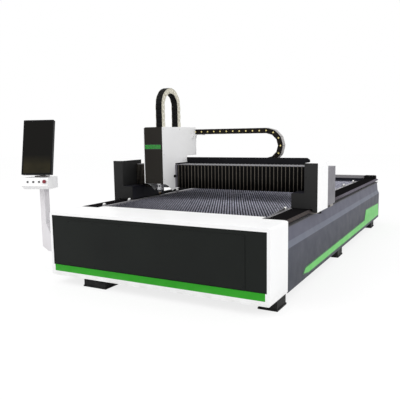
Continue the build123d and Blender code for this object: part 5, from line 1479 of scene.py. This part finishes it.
@dataclass
class WayCover:
    """Pleated cloth cover of the beam's guides on one side of the carriage."""

    palette: Palette
    name: str
    node: str
    pleats: int
    head_plate: float = 0.0
    valley_depth: float = 0.0130
    valley_drop: float = 0.004
    corner: float = 0.006
    corner_turns: tuple[int, ...] = (30, 60)
    hem: float = 0.006
    lip: float = 0.0025
    set_back: float = 0.0085
    plate_front: float = 0.026
    plate_top: float = 0.008
    cloth: float = 0.0012
    fold: tuple[Flat, ...] = (
        (0.0, 0.0),
        (0.1, 0.07),
        (0.41, 0.93),
        (0.5, 1.0),
        (0.59, 0.93),
        (0.9, 0.07),
    )
    dust_line: tuple[float, ...] = (0.0, 0.0, 0.0, 0.2, 0.6, 0.8, 0.9, 0.8, 0.1)

    def ring(self, x: float, share: float, low: Vector, high: Vector) -> list[Corner]:
        """Line over the cover at one x: up its front, over its top and down its back.

        Args:
            x: Position across the beam.
            share: Zero in a valley and one on a ridge.
            low: Lowest corner of the cover.
            high: Highest corner of the cover.

        Returns:
            Corners of the line.
        """
        front = low.y + self.set_back + self.valley_depth * (1 - share)
        top = high.z - self.valley_drop * (1 - share)
        r = self.corner
        points = [(front, low.z), (front, (low.z + top) / 2), (front, top - r)]
        for turn in self.corner_turns:
            angle = math.radians(turn)
            points.append((front + r * (1 - math.cos(angle)), top - r * (1 - math.sin(angle))))
        points += [(front + r, top), ((front + high.y) / 2, top)]
        points += [(high.y, top), (high.y, top - self.hem)]
        return [(x, y, z) for y, z in points]

    def end_plates(self, draft: Draft, start: float, low: Vector, high: Vector) -> None:
        """Add the plate at each end of the cover.

        Args:
            draft: Piece that they become part of.
            start: Where the pleats start.
            low: Lowest corner of the cover.
            high: Highest corner of the cover.
        """
        front = low.y + self.set_back
        inner = front + self.plate_front
        below = high.z - self.plate_top
        line = [(front, low.z), (inner, low.z), (inner, below)]
        line += [(high.y, below), (high.y, high.z), (front, high.z)]
        draft.prism(line, low.x, start, along_x, 2 if self.head_plate else 1)
        draft.prism(line, high.x - self.lip, high.x, along_x, 1)

    def pleated(self) -> Piece:
        """Make the skin with rounded folds and a plate at each end.

        Returns:
            The cover, not yet tied to any body.
        """
        low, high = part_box(self.node)
        start = low.x + max(self.lip, self.head_plate)
        width = (high.x - self.lip - start) / self.pleats
        rings = [(start + width * (i + t), s) for i in range(self.pleats) for t, s in self.fold]
        rings.append((high.x - self.lip, 0.0))
        corners: list[Corner] = []
        crest: list[float] = []
        dust: list[float] = []
        for x, share in rings:
            line = self.ring(x, share, low, high)
            corners += line
            crest += [share] * len(line)
            dust += self.dust_line
        size = len(self.dust_line)
        faces = []
        for i in range(len(rings) - 1):
            for a in range(i * size, (i + 1) * size - 1):
                faces.append((a, a + 1, a + 1 + size, a + size))
        draft = Draft()
        draft.add(corners, faces, 0)
        self.end_plates(draft, start, low, high)
        bare = [0.0] * (len(draft.corners) - len(crest))
        draft.mark("crest", crest + bare)
        draft.mark("dust", dust + bare)
        finishes = self.palette.pick("way_cover_cloth", "strip_black", "end_grey")
        piece = draft.piece(self.name, finishes, sharp=28.0)
        skin = piece.modifiers.new("cloth_thickness", "SOLIDIFY")
        skin.thickness = self.cloth
        skin.offset = -1.0
        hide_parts(self.node)
        return piece


@dataclass
class WayCovers:
    """Both pleated covers, the right one tied to the gantry."""

    palette: Palette
    right_pleats: int = 37
    left_pleats: int = 15
    head_plate: float = 0.024
    clearance: float = 0.002

    def build(self) -> list[Piece]:
        """Make the two covers and tie the right one to the gantry.

        Returns:
            The new pieces.
        """
        right = WayCover(
            self.palette, "way_cover_right", "bellows_right", self.right_pleats, self.head_plate
        ).pleated()
        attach(right, "gantry")
        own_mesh(right)
        left = WayCover(self.palette, "way_cover_left", "bellows_left", self.left_pleats).pleated()
        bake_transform(left)
        return [right, left]


class ChainTone(Enum):
    """Colours of the two drag chains: plates, lids, pins."""

    BEAM = ("chain_brown", "chain_grey", "pin_yellow")
    HEAD = ("chain_cream", "chain_black", "pin_cream")


@dataclass
class ChainRun:
    """One run of a drag chain through a line of pivots."""

    palette: Palette
    tone: ChainTone
    place: Placer
    name: str
    node: str
    pivots: list[Flat]
    first: int = 0
    bend: float = 0.0
    width: float = 0.090
    height: float = 0.062
    plate: float = 0.0045
    plate_gap: float = 0.0004
    plate_reach: float = 0.31
    plate_inset: float = 0.002
    plate_turn: float = 80.0
    lid_share: float = 0.96
    lid_depth: float = 0.006
    lid_corner: float = 0.002
    lid_overlap: float = 0.004
    rib_share: float = 0.16
    rib_depth: float = 0.002
    rib_corner: float = 0.0008
    rib_overlap: float = 0.002
    boss: float = 0.030
    boss_round: float = 0.0149
    boss_depth: float = 0.0116
    boss_sink: float = 0.00072
    pin_radius: float = 0.009
    pin_round: float = 0.00891
    pin_proud: float = 0.0012
    cable_rows: tuple[tuple[float, float, int], ...] = (
        (0.026, 0.009, 3),
        (0.045, 0.007, 4),
        (0.063, 0.010, 3),
    )

    def plate_line(self, length: float) -> list[Flat]:
        """Outline of a link's side plate: round ends and a slight waist.

        Args:
            length: Distance between the link's pivots.

        Returns:
            Points round the middle of the link.
        """
        reach = length * self.plate_reach
        radius = self.height / 2 - self.plate_inset
        turn = self.plate_turn
        right = arc((reach, 0.0), radius, -turn, turn, 9)
        return right + arc((-reach, 0.0), radius, 180 - turn, 180 + turn, 9)

    def link(self, draft: Draft, start: Flat, end: Flat, index: int) -> None:
        """Add one link between two pivots: two plates, two lids and their ribs.

        Args:
            draft: Piece that it becomes part of.
            start: First pivot.
            end: Second pivot.
            index: Number of the link; every second one has its plates further in.
        """
        a = Vector(start)
        b = Vector(end)
        along = (b - a).normalized()
        across = Vector((-along.y, along.x))
        middle = (a + b) / 2
        length = (b - a).length

        def turned(points: Sequence[Flat]) -> list[Flat]:
            """Points of the link's own two directions, in the chain's plane."""
            return [tuple(middle + along * u + across * v) for u, v in points]

        near = self.pin_proud + (0.0 if index % 2 == 0 else self.plate + self.plate_gap)
        far = self.width - near
        line = turned(self.plate_line(length))
        draft.prism(line, near, near + self.plate, self.place, 0)
        draft.prism(line, far - self.plate, far, self.place, 0)
        inner = 2 * (self.plate + self.plate_gap) + self.pin_proud
        edge = self.height / 2
        for side in (1, -1):
            reach = length * self.lid_share * (1 + side * self.bend)
            lid = oblong(reach, self.lid_depth, self.lid_corner, 2)
            rib = oblong(length * self.rib_share, self.rib_depth, self.rib_corner, 1)
            lid_at = side * (edge - self.lid_depth / 2)
            rib_at = side * (edge - self.lid_depth - self.rib_depth / 2)
            for shape, height, overlap in (
                (lid, lid_at, self.lid_overlap),
                (rib, rib_at, self.rib_overlap),
            ):
                low, high = inner - overlap, self.width - inner + overlap
                draft.prism(turned(shifted(shape, 0.0, height)), low, high, self.place, 1)

    def pin(self, draft: Draft, spot: Flat) -> None:
        """Add the pivot's bosses and pin heads on both sides of the chain.

        Args:
            draft: Piece that they become part of.
            spot: The pivot.
        """
        size = 2 * self.pin_radius
        boss = shifted(oblong(self.boss, self.boss, self.boss_round, 5), *spot)
        head = shifted(oblong(size, size, self.pin_round, 4), *spot)
        far = self.width
        for shape, low, high, slot in (
            (boss, self.boss_sink, self.boss_depth, 0),
            (boss, far - self.boss_depth, far - self.boss_sink, 0),
            (head, 0.0, self.plate, 2),
            (head, far - self.plate, far, 2),
        ):
            draft.prism(shape, low, high, self.place, slot)

    def cables(self, draft: Draft) -> None:
        """Add the cables and the hose that lie inside the chain.

        Args:
            draft: Piece that they become part of.
        """
        fine: list[Flat] = []
        for a, b in zip(self.pivots, self.pivots[1:]):
            fine += [a, ((a[0] + b[0]) / 2, (a[1] + b[1]) / 2)]
        fine.append(self.pivots[-1])
        for depth, radius, slot in self.cable_rows:
            draft.tube([self.place(u, v, depth) for u, v in fine], radius, 10, slot)

    def build(self) -> Piece:
        """Make the run.

        Returns:
            The run as one piece, not yet tied to any body.
        """
        draft = Draft()
        for i, (start, end) in enumerate(zip(self.pivots, self.pivots[1:])):
            self.link(draft, start, end, self.first + i)
        for spot in self.pivots[1:-1] if self.bend else self.pivots:
            self.pin(draft, spot)
        self.cables(draft)
        finishes = self.palette.pick(*self.tone.value, "cable_black", "cable_grey")
        piece = draft.piece(self.name, finishes, sharp=30.0)
        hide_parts(self.node)
        return piece


@dataclass
class DragChains:
    """The beam's chain in its tray and the head's chain on the carriage cover."""

    palette: Palette
    beam_front: float = station(1.850)
    start_x: float = -0.525
    turn_x: float = 0.393
    anchor_x: float = 0.150
    top_z: float = 1.479
    radius: float = 0.171
    head_left: float = -0.650
    head_turn: Flat = (station(1.365), 1.775)
    head_radius: float = 0.167
    leg_foot: float = 1.535
    leg_gap: float = 0.002
    bend: float = 0.18

    def in_beam(self, u: float, v: float, w: float) -> Corner:
        """Point of the beam chain: its plane is X and Z, its depth runs back."""
        return (u, self.beam_front + w, v)

    def on_head(self, u: float, v: float, w: float) -> Corner:
        """Point of the head chain: its plane is Y and Z, its depth runs right."""
        return (self.head_left + w, u, v)

    def beam_chain(self) -> list[Piece]:
        """Make the upper run, the loop and the lower run of the beam chain.

        Returns:
            The three pieces.
        """
        kind = (self.palette, ChainTone.BEAM, self.in_beam)
        centre = (self.turn_x, self.top_z - self.radius)
        pivots = [(x, self.top_z) for x in steps(self.start_x, self.turn_x, 12)]
        upper = ChainRun(*kind, "beam_chain_upper", "x_chain_upper", pivots).build()
        pivots = arc(centre, self.radius, 90, -90, 7)
        loop = ChainRun(*kind, "beam_chain_turn", "x_chain_loop", pivots, 1, self.bend).build()
        low = centre[1] - self.radius
        pivots = [(x, low) for x in steps(self.anchor_x, self.turn_x, 4)]
        lower = ChainRun(*kind, "beam_chain_lower", "x_chain_lower", pivots).build()
        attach(upper, "head_carriage")
        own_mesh(upper)
        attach(loop, "beam_chain_loop")
        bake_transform(lower)
        return [upper, loop, lower]

    def head_chain(self) -> list[Piece]:
        """Make the legs and the loop of the head chain.

        Returns:
            The three pieces.
        """
        kind = (self.palette, ChainTone.HEAD, self.on_head)
        y, z = self.head_turn
        radius = self.head_radius
        made = []
        for name, leg_y in (
            ("head_chain_front_leg", y - radius),
            ("head_chain_rear_leg", y + radius),
        ):
            pivots = [(leg_y, h) for h in steps(self.leg_foot + self.leg_gap, z, 6)]
            leg = ChainRun(*kind, name, "z_chain_legs", pivots).build()
            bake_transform(leg)
            made.append(leg)
        pivots = arc(self.head_turn, radius, 180, 0, 12)
        loop = ChainRun(*kind, "head_chain_turn", "z_chain_loop", pivots, 1, self.bend).build()
        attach(loop, "head_chain_loop")
        return [*made, loop]

    def build(self) -> list[Piece]:
        """Make both chains."""
        return self.beam_chain() + self.head_chain()


@dataclass
class CarriageCover:
    """White cover of the carriage with its dark face, display and latch."""

    palette: Palette
    left_x: float = -0.7765
    right_x: float = -0.529
    screw_radius: float = 0.0036
    screw_sink: float = 0.0002
    wall_screws: tuple[Flat, ...] = (
        (1.135, 1.51),
        (1.48, 1.51),
        (1.84, 1.51),
        (1.135, 0.955),
        (1.84, 1.225),
        (1.61, 1.15),
        (1.135, 1.23),
    )
    arm_face: float = 0.0079
    arm_screw_steps: tuple[float, float] = (0.03, 0.09)
    arm_screw_rise: float = 0.02
    arm_screw_radius: float = 0.005

    def screws(self) -> Piece:
        """Make the small screws of the cover's side walls and of the chain arm.

        Returns:
            The screws as one piece.
        """
        sink = self.screw_sink
        draft = Draft()
        for x, way in ((self.right_x - sink, 1), (self.left_x + sink, -1)):
            for distance, z in self.wall_screws:
                draft.screw((x, station(distance), z), (way, 0, 0), self.screw_radius)
        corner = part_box("chain_arm")[0]
        for step in self.arm_screw_steps:
            seat = (self.right_x + self.arm_face, corner.y + step, corner.z + self.arm_screw_rise)
            draft.screw(seat, (1, 0, 0), self.arm_screw_radius)
        piece = draft.piece("carriage_cover_screws", self.palette.pick("zinc_screw"))
        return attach(piece, "head_carriage")

    def build(self) -> list[Piece]:
        """Dress the carriage and add the cover's screws.

        Returns:
            The new pieces.
        """
        self.palette.dress(
            head_housing="white_paint",
            head_face_panel="face_black",
            head_display="display_green",
            head_latch="latch_black",
            chain_arm="white_paint",
            carriage_plate="machined_plate",
            carriage_motors="motor_black",
            x_pinion="upright_steel",
            z_screw="upright_steel",
            z_slide="machined_plate",
        )
        return [self.screws()]


@dataclass
class CuttingHead:
    """Cutting head below the carriage cover."""

    palette: Palette
    axis_x: float = -0.646
    axis_y: float = station(1.215)
    lower: tuple[Flat, ...] = (
        (0.0155, 0.800),
        (0.0185, 0.806),
        (0.0185, 0.810),
        (0.021, 0.817),
        (0.030, 0.827),
        (0.034, 0.833),
        (0.034, 0.852),
        (0.0325, 0.8535),
        (0.0325, 0.8555),
        (0.034, 0.857),
        (0.034, 0.895),
        (0.0325, 0.8965),
        (0.0325, 0.8985),
        (0.034, 0.900),
        (0.034, 0.985),
        (0.0315, 0.988),
        (0.0315, 0.996),
        (0.034, 0.999),
        (0.034, 1.040),
        (0.027, 1.047),
    )
    upper: tuple[Flat, ...] = (
        (0.027, 1.046),
        (0.027, 1.090),
        (0.025, 1.092),
        (0.025, 1.098),
        (0.027, 1.100),
        (0.027, 1.150),
        (0.022, 1.165),
    )
    mount_half: float = 0.030
    mount_low: float = 0.900
    mount_high: float = 1.020
    mount_gap: float = 0.01
    drawer_size: Flat = (0.044, 0.020)
    drawer_corner: float = 0.004
    drawer_sink: float = 0.0002
    drawer_z: float = 0.875
    drawer_screw: float = 0.014
    drawer_screw_sink: float = 0.0008
    drawer_screw_radius: float = 0.0028
    collar_z: float = 0.992
    collar_radius: float = 0.0312
    collar_screws: int = 6
    collar_turn: float = 30.0
    collar_screw_radius: float = 0.0024

    def body(self) -> Piece:
        """Make the turned head with its mount, lens drawer and screws.

        Returns:
            The head.
        """
        low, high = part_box("laser_head")
        x, y = self.axis_x, self.axis_y
        draft = Draft()
        draft.turned(self.lower, (x, y, 0.0), (0, 0, 1), 40, 0)
        draft.turned(self.upper, (x, y, 0.0), (0, 0, 1), 32, 1)
        near = (x - self.mount_half, y + self.mount_gap, self.mount_low)
        draft.slab(near, (x + self.mount_half, high.y, self.mount_high), 2)
        drawer = shifted(oblong(*self.drawer_size, self.drawer_corner, 3), x, self.drawer_z)
        draft.prism(drawer, low.y + self.drawer_sink, y, along_y, 1)
        for across in mirrored([self.drawer_screw]):
            seat = (x + across, low.y + self.drawer_screw_sink, self.drawer_z)
            draft.screw(seat, (0, -1, 0), self.drawer_screw_radius, 3)
        for turn in range(self.collar_screws):
            angle = math.radians(360 / self.collar_screws * turn + self.collar_turn)
            out = Vector((math.cos(angle), math.sin(angle), 0))
            seat = Vector((x, y, self.collar_z)) + out * self.collar_radius
            draft.screw(tuple(seat), tuple(out), self.collar_screw_radius, 3)
        finishes = self.palette.pick("head_silver", "head_dark", "machined_plate", "black_screw")
        piece = draft.piece("cutting_head_body", finishes)
        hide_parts("laser_head")
        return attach(piece, "cutting_head")

    def build(self) -> list[Piece]:
        """Make the head and dress the nozzle."""
        self.palette.dress(nozzle="nozzle_copper")
        return [self.body()]


@dataclass
class Console:
    """Operator console: column, control box, buttons and tilting monitor."""

    palette: Palette
    yaw: float = math.radians(21.7)
    face_flat: float = 0.951
    face_rise: float = 0.309
    push_ring: float = 0.0125
    stop_ring: float = 0.016
    stop_seat: float = 0.008
    ring_bore: float = 0.0094
    ring_side: float = 0.0022
    ring_height: float = 0.003
    ring_bevel: float = 0.0012

    def button_rings(self) -> Piece:
        """Make the bezel rings of the push buttons and the emergency stop.

        Returns:
            The rings as one piece.
        """
        level = Vector((math.sin(self.yaw), -math.cos(self.yaw), 0))
        out = level * self.face_flat + Vector((0, 0, self.face_rise))
        buttons = [(f"{name}_button", self.push_ring, 0.0) for name in ("start", "pause", "reset")]
        buttons.append(("emergency_stop", self.stop_ring, self.stop_seat))
        draft = Draft()
        for node, radius, back in buttons:
            low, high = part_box(node)
            seat = (low + high) / 2 - out * back
            ring = (
                (radius, 0.0),
                (radius, self.ring_side),
                (radius - self.ring_bevel, self.ring_height),
                (self.ring_bore, self.ring_height),
                (self.ring_bore, 0.0),
            )
            draft.turned(ring, tuple(seat), tuple(out), 28)
        piece = draft.piece("button_rings", self.palette.pick("zinc_screw"))
        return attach(piece, "console_head")

    def build(self) -> list[Piece]:
        """Dress the console and add its button rings.

        Returns:
            The new pieces.
        """
        self.palette.dress(
            console_column="column_white",
            control_box="white_paint",
            monitor_bracket="bracket_steel",
            monitor_frame="monitor_black",
            monitor_glass="screen_glass",
            start_button="button_dark",
            pause_button="button_dark",
            reset_button="button_dark",
            emergency_stop="stop_red",
        )
        return [self.button_rings()]


@dataclass(frozen=True)
class Lamp:
    """Large square soft lamp that looks at a point."""

    name: str
    place: Corner
    target: Corner
    power: float
    size: float = 5.0

    def build(self) -> Piece:
        """Hang the lamp.

        Returns:
            The lamp.
        """
        data = bpy.data.lights.new(self.name, "AREA")
        data.size = self.size
        data.energy = self.power
        made = bpy.data.objects.new(self.name, data)
        bpy.context.scene.collection.objects.link(made)
        made.location = self.place
        ahead = Vector(self.target) - Vector(self.place)
        made.rotation_euler = ahead.to_track_quat("-Z", "Y").to_euler()
        return made


@dataclass
class Studio:
    """Plain pale floor, soft light and the camera of the product view."""

    place: Corner = (2.520, -6.0252, 1.4358)
    yaw: float = 28.81
    pitch: float = 7.27
    roll: float = -0.94
    lens: float = 45.57
    sensor: float = 36.0
    sight: float = 200.0
    sky: float = 0.93
    floor_half: float = 30.0
    floor_z: float = -0.0006
    floor_matt: float = 0.75
    floor_glow: float = 1.11
    floor_share: float = 0.72
    lamps: tuple[Lamp, ...] = (
        Lamp("key_lamp", (-5.0, -8.0, 7.0), (0.0, -0.5, 0.6), 240.0),
        Lamp("fill_lamp", (8.0, -2.0, 5.0), (0.0, 0.5, 0.8), 165.0),
    )

    def camera(self) -> Piece:
        """Place the camera at the photograph's viewing angle.

        Returns:
            The camera.
        """
        yaw, pitch, roll = (math.radians(v) for v in (self.yaw, self.pitch, self.roll))
        flat = math.cos(pitch)
        ahead = Vector((-math.sin(yaw) * flat, math.cos(yaw) * flat, -math.sin(pitch)))
        level = Vector((math.cos(yaw), math.sin(yaw), 0.0))
        above = level.cross(ahead)
        right = level * math.cos(roll) + above * math.sin(roll)
        up = above * math.cos(roll) - level * math.sin(roll)
        data = bpy.data.cameras.new("product_camera")
        data.lens = self.lens
        data.sensor_width = self.sensor
        data.sensor_fit = "HORIZONTAL"
        data.clip_end = self.sight
        made = bpy.data.objects.new("product_camera", data)
        bpy.context.scene.collection.objects.link(made)
        turn = Matrix((right, up, -ahead)).transposed()
        made.matrix_world = Matrix.Translation(Vector(self.place)) @ turn.to_4x4()
        bpy.context.scene.camera = made
        return made

    def seen_rays(self, tree: bpy.types.NodeTree) -> Socket:
        """Value that is one for what the camera sees, also in metal and through glass.

        Args:
            tree: Node tree that gets the nodes.

        Returns:
            Socket that is one for camera, glossy and transmission rays.
        """
        path = tree.nodes.new("ShaderNodeLightPath")
        seen = path.outputs["Is Camera Ray"]
        for name in ("Is Glossy Ray", "Is Transmission Ray"):
            either = tree.nodes.new("ShaderNodeMath")
            either.operation = "MAXIMUM"
            tree.links.new(seen, either.inputs[0])
            tree.links.new(path.outputs[name], either.inputs[1])
            seen = either.outputs[0]
        return seen

    def blend(
        self, tree: bpy.types.NodeTree, kind: str, share: Socket, first: Socket, second: Socket
    ) -> None:
        """Send two blended shaders to a new output node.

        Args:
            tree: Node tree that gets the nodes.
            kind: Blender's name of the output node.
            share: Socket that is 0 for the first shader and 1 for the second.
            first: Shader that lights the machine and takes its shadow.
            second: Shader that is seen.
        """
        out = tree.nodes.new(kind)
        mix = tree.nodes.new("ShaderNodeMixShader")
        tree.links.new(share, mix.inputs["Fac"])
        tree.links.new(first, mix.inputs[1])
        tree.links.new(second, mix.inputs[2])
        tree.links.new(mix.outputs[0], out.inputs["Surface"])

    def world(self) -> None:
        """Give even soft light, and white for the camera and for reflections."""
        world = bpy.data.worlds.new("studio_sky")
        world.use_nodes = True
        tree = world.node_tree
        tree.nodes.clear()
        skies = []
        for strength in (self.sky, 1.0):
            sky = tree.nodes.new("ShaderNodeBackground")
            sky.inputs["Color"].default_value = (1.0, 1.0, 1.0, 1.0)
            sky.inputs["Strength"].default_value = strength
            skies.append(sky.outputs[0])
        self.blend(tree, "ShaderNodeOutputWorld", self.seen_rays(tree), *skies)
        bpy.context.scene.world = world

    def floor(self) -> Piece:
        """Lay the pale floor that keeps a soft shadow.

        Returns:
            The floor.
        """
        half = self.floor_half
        square = ((-half, -half), (half, -half), (half, half), (-half, half))
        corners = [(x, y, self.floor_z) for x, y in square]
        draft = Draft()
        draft.add(corners, [(0, 1, 2, 3)], 0)
        material = bpy.data.materials.new("studio_floor")
        material.use_nodes = True
        tree = material.node_tree
        tree.nodes.clear()
        matt = tree.nodes.new("ShaderNodeBsdfDiffuse")
        matt.inputs["Color"].default_value = (self.floor_matt,) * 3 + (1.0,)
        glow = tree.nodes.new("ShaderNodeEmission")
        glow.inputs["Strength"].default_value = self.floor_glow
        share = tree.nodes.new("ShaderNodeMath")
        share.operation = "MULTIPLY"
        share.inputs[1].default_value = self.floor_share
        tree.links.new(self.seen_rays(tree), share.inputs[0])
        kind = "ShaderNodeOutputMaterial"
        self.blend(tree, kind, share.outputs[0], matt.outputs[0], glow.outputs[0])
        piece = draft.piece("studio_floor", [material])
        return piece

    def build(self) -> None:
        """Set the stage, the light and the camera."""
        self.world()
        self.floor()
        self.camera()
        for lamp in self.lamps:
            lamp.build()
        bpy.context.scene.view_settings.view_transform = "Standard"


def main() -> None:
    """Build the dressed machine and its studio."""
    logging.basicConfig(level=logging.INFO, format="%(message)s")
    Studio().build()
    palette = Palette()
    assemblies = (
        BedHousing(palette),
        SidePanels(palette),
        SlatTable(palette),
        RailGuides(palette),
        GantryEnds(palette),
        WayCovers(palette),
        DragChains(palette),
        CarriageCover(palette),
        CuttingHead(palette),
        Console(palette),
    )
    for assembly in assemblies:
        for piece in assembly.build():
            kind, faces = type(assembly).__name__, len(piece.data.polygons)
            log.info("%s: %s, %d faces", kind, piece.name, faces)


if __name__ == "__main__":
    main()
